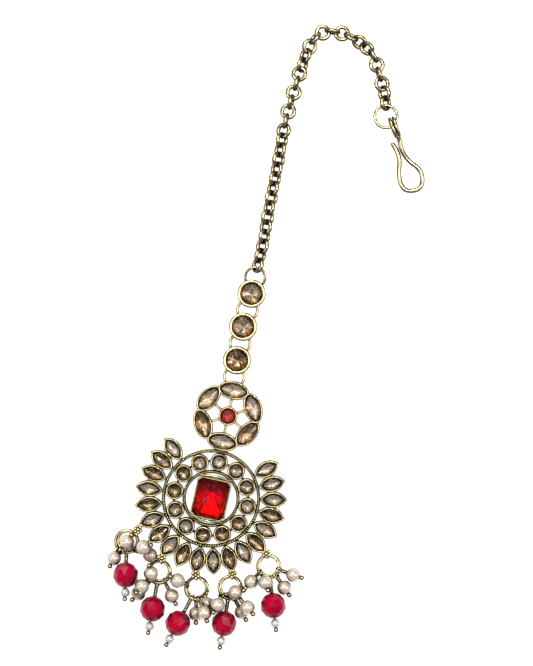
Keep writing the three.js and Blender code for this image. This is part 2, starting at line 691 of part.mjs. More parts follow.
// The headed pin of a red bead, with the seed pearl below the bead
function redPin(drop) {
  const { from, centre, along } = redLine(drop);
  const at = (distance) => centre.clone().addScaledVector(along, distance);
  const seed = RED_BEAD_RADIUS + CLEARANCE + SEED_RADIUS;
  const head = seed + SEED_RADIUS + PIN_HEAD_RADIUS - 2 * BITE;
  const across = new THREE.Vector3().crossVectors(up, along).normalize();
  const face = new THREE.Vector3().crossVectors(along, across);
  const placement = new THREE.Matrix4().makeBasis(along, face, across.negate()).setPosition(from);
  const eye = toSolid(wireRing(redEyeRadius, PIN_WIRE, LINK_SIDES).applyMatrix4(placement));
  return join([
    eye,
    rod(from.clone().addScaledVector(along, redEyeRadius), at(seed), PIN_STEM),
    ball(at(seed), SEED_RADIUS, LINK_SIDES, 4),
    ball(at(head), PIN_HEAD_RADIUS, 6, 3),
  ]);
}

function dropNodes(drop, index) {
  const group = new THREE.Group();
  const place = dropEyePlace(drop).add(heading(drop.hang, DROP_RING_RADIUS));
  group.position.set(place.x, place.y, 0);
  group.add(
    node("pearl_cluster_" + index, pearlCluster(drop), pearlWhite),
    node("red_bead_" + index, redBead(drop), redGlass),
    node("red_pin_" + index, redPin(drop), brightGold),
  );
  return group;
}

const tikka = new THREE.Group();
tikka.add(node("medallion_frame", frame(), antiqueGold), ...frameStones(), linkNodes());
tikka.add(node("hair_chain", hairChain(), antiqueGold), ...endNodes());
DROPS.forEach((drop, i) => tikka.add(dropNodes(drop, i + 1)));

export default tikka;
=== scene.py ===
import math
import random
from collections import namedtuple

import bpy
from mathutils import Matrix, Vector


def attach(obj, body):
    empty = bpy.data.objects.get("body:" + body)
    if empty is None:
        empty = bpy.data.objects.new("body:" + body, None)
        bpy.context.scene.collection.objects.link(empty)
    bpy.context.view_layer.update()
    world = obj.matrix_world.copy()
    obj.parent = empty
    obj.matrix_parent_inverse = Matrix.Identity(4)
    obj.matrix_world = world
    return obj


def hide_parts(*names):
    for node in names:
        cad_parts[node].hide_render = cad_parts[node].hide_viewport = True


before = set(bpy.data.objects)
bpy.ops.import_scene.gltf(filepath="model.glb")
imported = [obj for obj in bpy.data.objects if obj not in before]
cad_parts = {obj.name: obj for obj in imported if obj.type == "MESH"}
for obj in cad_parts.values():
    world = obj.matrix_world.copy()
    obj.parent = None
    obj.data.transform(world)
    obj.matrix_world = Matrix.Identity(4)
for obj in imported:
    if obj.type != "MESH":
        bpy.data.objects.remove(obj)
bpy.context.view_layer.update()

# Looks of a maang tikka that lies face up on a pale floor. Lengths are in millimetres and angles in degrees;
# meshes are scaled to metres when they are made. The origin is the middle of the medallion's back, and +Y
# runs to the chain.
METRE = 0.001
BITE = 0.1  # how far soldered pieces run into each other
CLEARANCE = 0.1
EYE_CLEARANCE = 0.15  # between a ring's wire and the eye round it
RUNNING_GAP = 0.26  # between a ring and the cup over it, and between the last chain link and its ring
EDGE = 0.15  # height of the fine bevels of bars and strips

# Frame of the medallion
BEZEL_TOP = 2.6
RIM = 0.58  # width of a bezel's rim
FOOT_HEIGHT = 0.2  # of the bevel at a wall's foot
CUP_FOOT = 0.04  # its width at a cup
SEAT_DEPTH = 0.4  # from a bezel's top down to the girdle of its stone
STONE_GAP = 0.02  # between a rim and its stone
BACK_PLATE = 0.7
BASE_INSET = 0.3  # from the outline of a cup to that of its closed base
STRIP_HEIGHT = 1.5
OUTER_RING_RADIUS = 12.3
INNER_RING_RADIUS = 7.15
RING_STRIP = 0.85
ROUND_COUNT = 12
STRIP_SINK = 0.3  # depth of a strip between its two fine edges
SOLDER_WIDTH = 0.6
SOLDER_LENGTH = 0.7
SOLDER_BOTTOM = 0.2
PETAL_COUNT = 19
PETAL_LENGTH = 7.0
PETAL_WIDTH = 4.05
PETAL_FULLNESS = 2.4  # power of the curve of a petal's sides
PETAL_FIRST = 40.25  # direction of the first petal; the others follow clockwise
MILGRAIN_RADIUS = 0.3
MILGRAIN_PITCH = 0.62
MILGRAIN_RISE = 0.05  # from a strip's top up to the middles of its grains

# Octagon stone and its setting
OCTAGON_WIDTH = 7.7
OCTAGON_LENGTH = 9.3
OCTAGON_CORNER = 1.1
OCTAGON_WALL = 0.38
OCTAGON_FLOOR = 1.0
OCTAGON_RIM = 3.0
OCTAGON_CROWN = 1.25
OCTAGON_BAR = 0.65
OCTAGON_BOW = 0.55  # how far the bars above and below the stone bulge
OCTAGON_BAR_RISE = (-0.4, 0.5)  # of their ends and middles over the strips
OCTAGON_BEVELS = (0.08, 0.1)  # outside and inside, at the top of the wall
OCTAGON_BASE_INSET = 0.2
OCTAGON_FACETS = 20
OCTAGON_KEEL = (0.1, 1.5)  # where the facets behind the stone meet
OCTAGON_GIRDLE = 0.12

# Flower
FLOWER_X = -0.3
OVAL_COUNT = 6
OVAL_LENGTH = 7.9
OVAL_WIDTH = 4.7
OVAL_POINT = 0.12  # how far an oval's ends narrow to points
OVAL_ORBIT = 6.55
FLOWER_CUP_RADIUS = 2.4
SPOKE_WIDTH = 0.7

# Links of three set stones
LINK_CUP_RADIUS = 3.55
LINK_CUP_FLOOR = 0.48
LINK_CUP_DEPTH = 1.5
LINK_FOOT = 0.1
LINK_LIP = 0.95  # width of the broad rolled rim of a link
LINK_SEAT_DEPTH = 0.55
LINK_STONE_TURN = 30
LINK_SWAY = [-1.1, -1.4, -1.1]  # X of the links' middles
LINK_EYE_OFFSET = 1.75
FLOWER_EYE_OFFSET = 0.8
LINK_RING_RADIUS = 2.49
LINK_RING_WIRE = 0.72
LINK_RING_JOINT = 90
RING_JOINT = 0.0977  # width of the joint where a ring's ends meet
EYE_WIRE = 0.4

# Chain, end ring and hook
CHAIN_COUNT = 37
CHAIN_LINK_RADIUS = 1.5
CHAIN_WIRE = 0.62
CHAIN_BITE = 0.06
LINK_SWELL = 0.05  # how much wider a chain link is than its solid
WIRE_SWELL = 0.42  # how much heavier its wire is
LINK_PLAY = 7.0  # how far a link may turn from its tilt
END_RING_RADIUS = 2.8
END_RING_WIRE = 0.7
END_RING_JOINT = 20
HOOK_WIRE = 1.0
HOOK_SWELL = 0.09  # how much the hook's wire grows on each side
HOOK_DIRECTION = -56.9
HOOK_PLACE = (2.6, -2.1)  # from the middle of the end ring to the middle of the hook's eye
HOOK_REACH = 16.5
HOOK_EYE_LENGTH = 5.4
HOOK_EYE_HEIGHT = 3.2
HOOK_EYE_WIRE = 0.8
HOOK_EYE_SPREAD = 0.47  # from the middle of the eye to each of its two turns
HOOK_SINK_POINTS = 4  # points of the hook's route over which it sinks to the table

# Drops
DROP_RING_RADIUS = 2.78
DROP_RING_WIRE = 0.75
RING_SWELL = 0.08  # how much heavier a drop ring and the end ring are drawn
INNER_TURN = 0.86  # radius of a drop ring's second turn, as a share of the first
INNER_TURN_WIRE = 0.62
INNER_TURN_PLACE = (0.3, 0.3)  # back from the ring's middle, and up
INNER_TURN_LEAN = 6
TURN_JOINTS = (70, -60)  # from a drop's hang to the joints of the two turns
PIN_WIRE = 0.4
PIN_HEAD_RADIUS = 0.62
PIN_LOOP_RADIUS = 0.85
LOOP_SIZES = (1.0, 0.85)  # the two turns of wire in a pearl's loop
LOOP_LEAN = (20, 40)
LOOP_RISE = 0.15
NECK_TURN = 0.34  # radius of the turns of wire round a pin
NECK_WIRE = 0.4
NECK_PITCH = 0.36
RED_NECK_PITCH = 0.38
NECK_STEPS = 14  # points in each turn of wire
SHORTEST_NECK = 0.15
HIGHEST_BORE = 0.3  # steepest rise of a pearl's bore towards its pin head
PEARL_RADIUS = 1.85
SEED_RADIUS = 1.2
RED_BEAD_RADIUS = 3.25
RED_BEAD_SIDES = 10
RED_BEAD_LATITUDES = (-74, -48, -18, 18, 48, 74)
ANY_TURN = 6.28  # a whole turn, in radians
LUG_WIDTH = 0.9
LUG_SINK = 0.2  # from a bezel's top down to a lug's
GRANULE_RADIUS = 0.45
GRANULE_SINKS = (0.1, 0.3)  # from a bezel's top down to the middle granule and to the six round it
GRANULE_ORBIT = 0.79

# Camera, floor and light
PHOTO_ROLL = 12.4  # the jewel's line leans to the right of the picture's upright
VIEW_CENTRE = (4.64, 43.28)
VIEW_HEIGHT = 166.5  # length of the floor that the picture covers from top to bottom
CAMERA_HEIGHT = 620.0
SENSOR_HEIGHT = 24.0
FLOOR_HALF = 1500.0
FLOOR_DROP = 0.05  # how far the floor is under the jewel, so that no two faces share a plane
FLOOR_GLOW = 0.8  # an opal table, lit softly from below
SKY = 0.21

# Lights, as (name, place, aim, size, power), in metres and watts
LIGHTS = [
    ("key", (-0.22, 0.46, 0.62), (0, 0.04, 0), (0.50, 0.35), 2.8),
    ("side", (0.50, 0.15, 0.50), (0, 0.04, 0), (0.35, 0.30), 1.0),
    ("back", (-0.45, -0.15, 0.45), (0, 0.02, 0), (0.25, 0.25), 0.6),
    ("left", (-0.27, 0.04, 0.95), (0, 0.04, 0), (0.20, 0.80), 1.25),
    ("right", (0.27, 0.04, 0.95), (0, 0.04, 0), (0.20, 0.80), 1.25),
    ("glint", (0.10, 0.25, 0.90), (0, 0, 0), (0.10, 0.10), 1.2),
]

# Fine edge of a ring's strip, as (inset, depth under its top)
STRIP_EDGE = [(0.05, STRIP_HEIGHT), (0, STRIP_HEIGHT - EDGE), (0, 0.2), (0.08, 0.1), (0.16, 0.2)]

# Rounded rims of cast walls, from the outer flank over the top and down to the stone, as (share of the rim's
# width, depth under its top)
CUP_RIM = [
    (0, 0.75), (0.224, 0.3), (0.345, 0.08), (0.5, 0), (0.655, 0.02), (0.793, 0.14), (1, SEAT_DEPTH + 0.05),
    (1.172, SEAT_DEPTH + 0.3),
]
LINK_RIM = [
    (0, 0.7), (0.084, 0.3), (0.263, 0.06), (0.5, 0), (0.705, 0.06), (0.895, 0.25), (1, 0.5), (1.105, 0.6),
]

# Foil slots of the facets behind a stone, a pair for each step round: 1 light (painted light), 2 middle, 3
# deep (painted shade), 4 glint (painted glint), as lit and shaded copies of one foil
EVEN_FAN = ((1, 1), (2, 3), (2, 1), (2, 2))
STAR_FAN = ((2, 4), (2, 3), (2, 1), (3, 3), (2, 1), (2, 3))
OUTER_FAN = ((2, 2), (2, 3), (2, 2), (1, 2))
STRAY_FACETS = 0.25  # share of a stone's foiled facets that fall out of its pattern

# How stones are cut. sides: facets round each tier. crown: its height over the girdle. depth: that of the
# foiled back. table and star: widths of the table and of the star behind it, as shares of the stone. belly:
# depth of the star's edge, as a share of depth. off: how far the back's point is off centre. fan: foil slots.
# lean: the most that a stone tilts.
Cut = namedtuple("Cut", "sides crown depth table star belly off fan lean")
ROUND_CUT = Cut(12, 0.24, 0.5, 0.8, 0.5, 0.66, (0, 0), EVEN_FAN, 5)
PETAL_CUT = Cut(14, 0.24, 0.5, 0.78, 0.5, 0.66, (0, 0), EVEN_FAN, 4)
OVAL_CUT = Cut(18, 0.34, 0.6, 0.78, 0.55, 0.66, (0, 0), EVEN_FAN, 3)
FLOWER_CUT = Cut(12, 0.6, 0.6, 0.78, 0.5, 0.66, (0, 0), EVEN_FAN, 0)
LINK_CUT = Cut(12, 0.22, 0.85, 0.8, 0.55, 0.5, (0.2, -0.3), STAR_FAN, 2)
CROWN_BREAK = (0.9, 0.6)  # where the crown's facets break, as shares of its width and height
BACK_POINT = 0.03  # width of the point behind a stone, as a share of the stone
STAR_SHIFT = 0.6  # how far the star goes with the point, as a share

# Steps of the octagon's crown, as (share of its width, share of the crown's height, share of its corners)
OCTAGON_STEPS = [(1.0, 0.0, 1.0), (0.9, 0.6, 0.95), (0.76, 1.0, 0.8)]

# The facets behind the octagon, as (share of its girdle, height)
OCTAGON_BACK = [(0.05, OCTAGON_FLOOR + 0.5), (0.55, OCTAGON_FLOOR + 1.1), (1.0, OCTAGON_RIM - OCTAGON_GIRDLE)]

# Their foil slots, by a facet's turn from the lower end. The limit of the sides is drawn from SIDES_FROM.
# On the left, past GLINT_FROM, the lower end has painted glints too. The slots paint light at the lower end,
# shade at the sides, and shade with glints at the upper end.
OCTAGON_FOILS = {"upper": (2, 3, 4, 4), "side": (3, 3, 3, 2), "lower": (1, 1, 1, 2, 2)}
UPPER_FROM = 150
SIDES_FROM = (65, 95)
GLINT_FROM = 30

# Where the chain lies, as (x, y) from the centre of its first link, in link pitches
CHAIN_ROUTE = [
    (0, 0), (0.04, 2.3), (-0.1, 5.33), (-0.18, 8.4), (-0.27, 11.48), (-0.39, 14.51), (-0.29, 16.64),
    (-0.16, 18.69), (0.02, 20.66), (0.27, 22.5), (0.86, 24.14), (1.84, 24.84), (2.85, 24.96), (3.85, 24.9),
    (4.88, 24.63), (5.78, 24.22), (6.6, 23.69), (7.25, 22.99), (7.7, 22.09), (8.2, 21.19), (8.69, 20.29),
    (9.06, 19.43), (9.3, 18.52), (9.47, 17.62),
]

# Tilt of the odd links from lying flat; each even link stands square to them
CHAIN_TWIST = [
    (1, 45), (14, 45), (16, 8), (20, 0), (22, 38), (24, 62), (26, 90), (28, 90), (30, 55), (31, 35), (32, 8),
    (34, 5), (36, 40), (37, 45),
]

# The wire of the hook, as (along, across) from the middle of its eye, in shares of its reach
HOOK_ROUTE = [
    (0.139, 0), (0.2, 0.006), (0.339, -0.012), (0.473, 0.006), (0.594, 0.055), (0.679, 0.109),
    (0.782, 0.139), (0.867, 0.127), (0.945, 0.091), (1, 0.018), (0.994, -0.085), (0.939, -0.176),
    (0.848, -0.206), (0.733, -0.194), (0.624, -0.158), (0.533, -0.115), (0.436, -0.091), (0.321, -0.091),
    (0.236, -0.109),
]

# The drops, from left to right. petal: the petal whose tip carries the eye. bearing: the eye's direction from
# the middle. past: how far past the petals' tips it is, in ring radii. hang: the ring's direction from it.
# red and pearls: the beads' places from the middle of the ring, in ring radii, with each pearl's seat on the
# ring and its rise in pearl radii.
Drop = namedtuple("Drop", "petal bearing past hang red pearls")
Bead = namedtuple("Bead", "x y seat rise")
DROPS = [
    Drop(13, -142, 0.65, -130, (0.58, -2.88), [
        Bead(0.07, -0.04, -105, 0.11), Bead(1.62, -0.07, -30, 1.57),
        Bead(2.3, -0.72, -42, 0), Bead(-0.79, -1.69, -125, 0),
    ]),
    Drop(11, -115.6, 0.29, -92, (0.14, -3.27), [
        Bead(-0.68, -0.18, -110, 1.03), Bead(-1.22, -1.44, -140, 1.62),
        Bead(-1.4, -2.23, -122, 0), Bead(1.55, -1.8, -48, 0),
    ]),
    Drop(9, -88, 0.34, -77, (-0.97, -3.31), [
        Bead(-1.83, 0.43, 172, 1.03), Bead(0.43, -2.19, -80, 0),
        Bead(1.12, -1.83, -60, 1.68), Bead(1.22, -1.12, -38, 0),
    ]),
    Drop(7, -62.3, 0.43, -90, (0.14, -3.17), [
        Bead(-0.79, -1.62, -122, 1.57), Bead(0.54, -0.25, -125, 0.43),
        Bead(1.47, -1.87, -57, 0), Bead(1.87, -1.26, -34, 1.68),
    ]),
    Drop(5, -32.8, 0.36, -73, (1.12, -3.24), [
        Bead(-1.26, -1.62, -135, 0), Bead(0, -1.37, -104, 0.86),
        Bead(2.3, -0.22, -5, 0), Bead(1.76, -1.51, -38, 0.11),
    ]),
]


# Forms: each is (points, faces), in millimetres

def smooth_path(points, samples=12):
    """A centripetal Catmull-Rom curve through the points, as a list of samples."""
    knots = [Vector(p) for p in points]
    knots = [2 * knots[0] - knots[1], *knots, 2 * knots[-1] - knots[-2]]
    curve = []
    for four in zip(knots, knots[1:], knots[2:], knots[3:]):
        a, b, c, d = four
        first, middle, last = [max((q - p).length, 1e-6) ** 0.5 for p, q in zip(four, four[1:])]
        out = ((b - a) / first - (c - a) / (first + middle) + (c - b) / middle) * middle
        into = ((c - b) / middle - (d - b) / (middle + last) + (d - c) / last) * middle
        for k in range(samples):
            t = k / samples
            square = 3 * (c - b) - 2 * out - into
            cube = 2 * (b - c) + out + into
            curve.append(b + out * t + square * t ** 2 + cube * t ** 3)
    curve.append(knots[-2])
    return curve


def band(low, high, count):
    """The faces between two rows of count points, from the number of the first point in each."""
    return [(low + k, low + (k + 1) % count, high + (k + 1) % count, high + k) for k in range(count)]


def lifted(outline, height):
    return [Vector((p.x, p.y, height)) for p in outline]


def tube(path, radius, sides=12, closed=False, squash=1.0):
    """A wire along a path; squash flattens its section."""
    count = len(path)
    ends = [path[-1], *path, path[0]] if closed else [path[0], *path, path[-1]]
    ahead = [(after - before).normalized() for before, after in zip(ends, ends[2:])]
    start = Vector((0, 0, 1)) if abs(ahead[0].z) < 0.9 else Vector((1, 0, 0))
    side = start.cross(ahead[0]).normalized()
    section = circle(radius, sides)
    points = []
    for centre, along in zip(path, ahead):
        side = (side - along * side.dot(along)).normalized()
        over = squash * along.cross(side)
        points += [centre + p.x * side + p.y * over for p in section]
    faces = []
    for i in range(count if closed else count - 1):
        faces += band(i * sides, (i + 1) % count * sides, sides)
    if not closed:
        faces.append(tuple(reversed(range(sides))))
        faces.append(tuple(range((count - 1) * sides, count * sides)))
    return points, faces


def circle(radius, count, phase=0.0):
    """Points round a circle; phase turns them by that share of a step."""
    return [heading(360 * (k + phase) / count, radius) for k in range(count)]


def wire_ring(radius, wire, count, sides):
    return tube(lifted(circle(radius, count), 0), wire / 2, sides, closed=True)


def oval(half_length, half_width, count, point=0.0):
    outline = []
    for k in range(count):
        angle = math.tau * k / count
        narrow = 1 - point * math.cos(angle) ** 4
        outline.append(Vector((half_length * math.cos(angle), half_width * math.sin(angle) * narrow)))
    return outline


def lens(half_length, half_width, count=36):
    """Two full curves that meet in points on the X axis."""
    side = []
    for k in range(count // 2):
        along = math.cos(math.tau * k / count)
        side.append(Vector((half_length * along, half_width * (1 - abs(along) ** PETAL_FULLNESS))))
    return side + [-p for p in side]


def cut_corners(x, y, cut):
    """A rectangle with its corners cut off, from half its width and half its length."""
    right = [(x, cut - y), (x, y - cut), (x - cut, y), (cut - x, y)]
    left = [(-x, y - cut), (-x, cut - y), (cut - x, -y), (x - cut, -y)]
    return [Vector(p) for p in right + left]


def inset(outline, depth):
    """The outline moved inwards by depth, with its corners kept sharp."""
    moved = []
    count = len(outline)
    for k, here in enumerate(outline):
        before = (here - outline[k - 1]).normalized()
        after = (outline[(k + 1) % count] - here).normalized()
        inward = Vector((-before.y - after.y, before.x + after.x)).normalized()
        lean = max(inward.dot(Vector((-before.y, before.x))), 0.4)
        moved.append(here + inward * depth / lean)
    return moved


def bezel(outline, section):
    """A wall round an outline. section is a closed list of (inset, height), from the outer foot up."""
    count = len(outline)
    points = []
    faces = []
    for row, (depth, height) in enumerate(section):
        points += lifted(inset(outline, depth), height)
        faces += band(row * count, (row + 1) % len(section) * count, count)
    return points, faces


def layers(rows):
    """A closed solid through outlines of one length, each (outline, height), from the lowest up."""
    count = len(rows[0][0])
    points = []
    for outline, height in rows:
        points += lifted(outline, height)
    faces = [tuple(reversed(range(count)))]
    for row in range(len(rows) - 1):
        faces += band(row * count, (row + 1) * count, count)
    faces.append(tuple(range((len(rows) - 1) * count, len(rows) * count)))
    return points, faces


def ball(radius, columns, rows):
    points = [Vector((0, 0, -radius))]
    faces = []
    for r in range(1, rows):
        angle = math.pi * r / rows - math.pi / 2
        points += lifted(circle(radius * math.cos(angle), columns), radius * math.sin(angle))
        if r > 1:
            faces += band(1 + (r - 2) * columns, 1 + (r - 1) * columns, columns)
    points.append(Vector((0, 0, radius)))
    last = len(points) - 1
    top = last - columns
    for k in range(columns):
        following = (k + 1) % columns
        faces.append((0, 1 + following, 1 + k))
        faces.append((last, top + k, top + following))
    return points, faces


def facets(rings, close_top=True, close_bottom=True):
    """A cut solid through rings of points, lowest first, each turned half a step from the one below."""
    count = len(rings[0])
    points = [p for ring in rings for p in ring]
    faces = []
    for r in range(len(rings) - 1):
        for a, b, c, d in band(r * count, (r + 1) * count, count):
            faces += [(a, c, d), (a, b, c)] if r % 2 else [(a, b, d), (b, c, d)]
    if close_bottom:
        faces.append(tuple(reversed(range(count))))
    if close_top:
        faces.append(tuple(range(len(points) - count, len(points))))
    return points, faces


class Form:
    """Solids gathered for one mesh. Each keeps its own material slot and shading."""

    def __init__(self):
        self.points = []
        self.faces = []
        self.smooth = []
        self.slots = []

    def add(self, solid, place=None, smooth=True, slot=0):
        points, faces = solid
        start = len(self.points)
        self.points += [place @ p for p in points] if place else list(points)
        self.faces += [tuple(start + k for k in face) for face in faces]
        self.smooth += [smooth] * len(faces)
        self.slots += slot if isinstance(slot, list) else [slot] * len(faces)
        return self


def new_object(name, data):
    obj = bpy.data.objects.new(name, data)
    bpy.context.scene.collection.objects.link(obj)
    return obj


def piece(name, form, materials, replaced):
    """Makes the mesh, in metres, that stands for the CAD nodes in replaced."""
    mesh = bpy.data.meshes.new(name)
    mesh.from_pydata([tuple(METRE * c for c in p) for p in form.points], [], form.faces)
    for polygon, smooth, index in zip(mesh.polygons, form.smooth, form.slots):
        polygon.use_smooth = smooth
        polygon.material_index = index
    for material in materials:
        mesh.materials.append(material)
    mesh.validate()
    obj = new_object(name, mesh)
    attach(obj, "root")
    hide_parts(*replaced)


def at(x, y, z=0.0, turn=0.0):
    return Matrix.Translation((x, y, z)) @ Matrix.Rotation(math.radians(turn), 4, "Z")


def level_side(along):
    """The level direction square to a direction."""
    side = Vector((0, 0, 1)).cross(along)
    return side.normalized() if side.length > 1e-4 else Vector((1, 0, 0))


def turned(place, x, z):
    """A place whose X and Z axes point along two directions, which are square to each other."""
    return Matrix.Translation(place) @ Matrix((x, z.cross(x), z)).transposed().to_4x4()


def facing(place, along):
    """A place whose Z axis points along a direction."""
    return turned(place, level_side(along), along.normalized())


def heading(degrees, length=1.0):
    angle = math.radians(degrees)
    return Vector((length * math.cos(angle), length * math.sin(angle)))


# Materials

def new_material(name, settings):
    """A material with the given constant inputs of its shader, and its node tree and shader."""
    material = bpy.data.materials.new(name)
    material.use_nodes = True
    tree = material.node_tree
    shader = tree.nodes["Principled BSDF"]
    for socket, value in settings.items():
        shader.inputs[socket].default_value = value
    return material, tree, shader


def noise(tree, scale, detail=4.0):
    place = tree.nodes.new("ShaderNodeTexCoord")
    texture = tree.nodes.new("ShaderNodeTexNoise")
    texture.inputs["Scale"].default_value = scale
    texture.inputs["Detail"].default_value = detail
    tree.links.new(place.outputs["Object"], texture.inputs["Vector"])
    return texture.outputs["Fac"]


def ramp(tree, factor, stops):
    """Tones along a factor, from stops of (position, color); a single number is a grey."""
    node = tree.nodes.new("ShaderNodeValToRGB")
    tree.links.new(factor, node.inputs["Fac"])
    elements = node.color_ramp.elements
    while len(elements) < len(stops):
        elements.new(0.5)
    for element, (position, color) in zip(elements, stops):
        element.position = position
        element.color = (*([color] * 3 if isinstance(color, float) else color), 1)
    return node.outputs["Color"]


def times(tree, first, second):
    node = tree.nodes.new("ShaderNodeMath")
    node.operation = "MULTIPLY"
    tree.links.new(first, node.inputs[0])
    tree.links.new(second, node.inputs[1])
    return node.outputs[0]


def bump(tree, shader, scale, strength, distance):
    node = tree.nodes.new("ShaderNodeBump")
    node.inputs["Strength"].default_value = strength
    node.inputs["Distance"].default_value = distance * METRE
    tree.links.new(noise(tree, scale), node.inputs["Height"])
    tree.links.new(node.outputs["Normal"], shader.inputs["Normal"])


def open_sky(tree, reach):
    """One in the open, and less in hollows narrower than reach."""
    node = tree.nodes.new("ShaderNodeAmbientOcclusion")
    node.inputs["Distance"].default_value = reach * METRE
    node.samples = 8
    return node.outputs["AO"]


def facing_up(tree, rise, lowest):
    """From lowest, where the surface stands upright, to one, where it faces up; rise gives the two ends."""
    surface = tree.nodes.new("ShaderNodeNewGeometry")
    parts = tree.nodes.new("ShaderNodeSeparateXYZ")
    tree.links.new(surface.outputs["Normal"], parts.inputs[0])
    return ramp(tree, parts.outputs["Z"], [(rise[0], lowest), (rise[1], 1.0)])


def aged_metal(name, bright, oxide_and_shade, roughness, rise, reach=3.0, wear=0.45):
    """Plated brass: rubbed bright where it faces up and dark with oxide in its hollows, with a fine grain.
    The same mask paints shade: darker on its walls, in its hollows and near the floor.

    Rubbing and painted light start and are full at rise, hollows darken with oxide and painted shade within
    reach, and wear is the tone of dull patches.
    """
    material, tree, shader = new_material(name, {"Metallic": 1.0})
    bare_and_unshaded = ramp(tree, open_sky(tree, reach), [(0.3, 0.0), (0.7, 1.0)])
    patchy = ramp(tree, noise(tree, 900), [(0.36, wear), (0.58, 1.0)])
    # painted light and shade mixed with real wear: bright where the surface faces up in the open, dark with
    # oxide and painted shade in hollows, on walls and near the floor, dull in patches
    rubbed_and_lit = times(tree, times(tree, bare_and_unshaded, facing_up(tree, rise, 0.0)), patchy)
    middle = [0.34 * warm * a + 0.66 * b for a, b, warm in zip(bright, oxide_and_shade, (1.0, 0.88, 0.7))]
    color = ramp(tree, rubbed_and_lit, [(0.06, oxide_and_shade), (0.3, middle), (0.66, bright)])
    tree.links.new(color, shader.inputs["Base Color"])
    rough = ramp(tree, rubbed_and_lit, [(0.1, min(2.2 * roughness, 0.7)), (0.6, roughness)])
    tree.links.new(rough, shader.inputs["Roughness"])
    bump(tree, shader, 2600, 0.3, 0.03)
    return material


def cut_glass(name, color, ior, shine):
    """Clear coloured glass with faint polishing marks."""
    settings = {"Transmission Weight": 1.0, "IOR": ior, "Roughness": 0.02, "Specular IOR Level": shine}
    material, tree, shader = new_material(name, settings)
    tint = ramp(tree, noise(tree, 500), [(0.3, [0.88 * c for c in color]), (0.7, color)])
    tree.links.new(tint, shader.inputs["Base Color"])
    bump(tree, shader, 1500, 0.05, 0.02)
    return material


def foil(name, color, roughness):
    """The foiled back of a stone, uneven in tone."""
    material, tree, shader = new_material(name, {"Metallic": 1.0, "Roughness": roughness})
    tone = ramp(tree, noise(tree, 1100, 6), [(0.34, [0.62 * c for c in color]), (0.62, color)])
    tree.links.new(tone, shader.inputs["Base Color"])
    return material


def lit_and_shaded_foils(name, light, middle, painted_dark, glint, roughness=(0.24, 0.24, 0.24, 0.1)):
    """The four foils of a kind of stone, in the order of its material slots: lit and shaded copies of one
    foil, with painted light, painted shade and a painted glint.
    """
    tones = {"light": light, "middle": middle, "painted_dark": painted_dark, "glint": glint}
    return [foil(f"{name}_{kind}", tones[kind], rough) for kind, rough in zip(tones, roughness)]


def pearl_lustre(name, light, shade, deepest_shade):
    """Nacre over a bead, slightly uneven, with painted shade: brown towards its sides and in the gaps between
    beads and wire.
    """
    material, tree, shader = new_material(name, {
        "Roughness": 0.2, "Metallic": 0.12, "Coat Weight": 1.0, "Coat IOR": 2.1, "Coat Roughness": 0.07,
    })
    # painted shade: the tone falls to the shade and deepest tones in hollows and where the surface turns from
    # facing up
    lit = times(tree, open_sky(tree, 3.5), facing_up(tree, (0.02, 0.8), 0.4))
    painted_shading = ramp(tree, lit, [(0.32, deepest_shade), (0.66, shade), (0.94, light)])
    mottle = ramp(tree, noise(tree, 700, 5), [(0.3, 0.86), (0.7, 1.0)])
    mix = tree.nodes.new("ShaderNodeMix")
    mix.data_type = "RGBA"
    mix.blend_type = "MULTIPLY"
    mix.inputs["Factor"].default_value = 1.0
    tree.links.new(painted_shading, mix.inputs["A"])
    tree.links.new(mottle, mix.inputs["B"])
    tree.links.new(mix.outputs["Result"], shader.inputs["Base Color"])
    bump(tree, shader, 1100, 0.1, 0.05)
    return material


def bead_glass(name, light, painted_dark):
    """Cloudy red glass, darker where it is cloudy and with painted shade towards its sides and in hollows,
    with faint marks of the cutting wheel.
    """
    material, tree, shader = new_material(name, {"Roughness": 0.16, "Specular IOR Level": 0.22})
    cloudy = ramp(tree, noise(tree, 420, 5), [(0.3, 0.6), (0.7, 1.0)])
    # painted shade: darker in hollows and where the surface turns from facing up, mixed with the glass's
    # cloud
    depth = times(tree, times(tree, open_sky(tree, 6), cloudy), facing_up(tree, (0.0, 0.8), 0.6))
    tree.links.new(ramp(tree, depth, [(0.4, painted_dark), (0.9, light)]), shader.inputs["Base Color"])
    bump(tree, shader, 1400, 0.04, 0.03)
    return material


# Each metal's dark tone stands for oxide and for painted shade
GOLD = aged_metal("antique_gold", (1.0, 0.84, 0.42), (0.04, 0.019, 0.006), 0.18, (0.45, 0.9), 3.0, 0.55)
OXIDE = aged_metal("oxide", (0.44, 0.345, 0.155), (0.025, 0.013, 0.005), 0.32, (0.5, 0.95))
CHAIN_GOLD = aged_metal(
    "chain_gold", (0.62, 0.51, 0.26), (0.018, 0.009, 0.003), 0.14, (0.55, 0.98), 3.5, 0.55,
)
PALE_GOLD = aged_metal("bright_gold", (0.56, 0.49, 0.28), (0.03, 0.017, 0.006), 0.14, (0.48, 0.97), 3.0, 0.8)
CHAMPAGNE = cut_glass("champagne_stone", (0.97, 0.93, 0.87), 1.38, 0.3)
PEACH = cut_glass("peach_stone", (1.0, 0.90, 0.80), 1.3, 0.15)
RUBY = cut_glass("ruby_stone", (1.0, 0.34, 0.40), 1.4, 0.2)
DEEP_RUBY = cut_glass("deep_ruby_stone", (1.0, 0.10, 0.13), 1.25, 0.2)
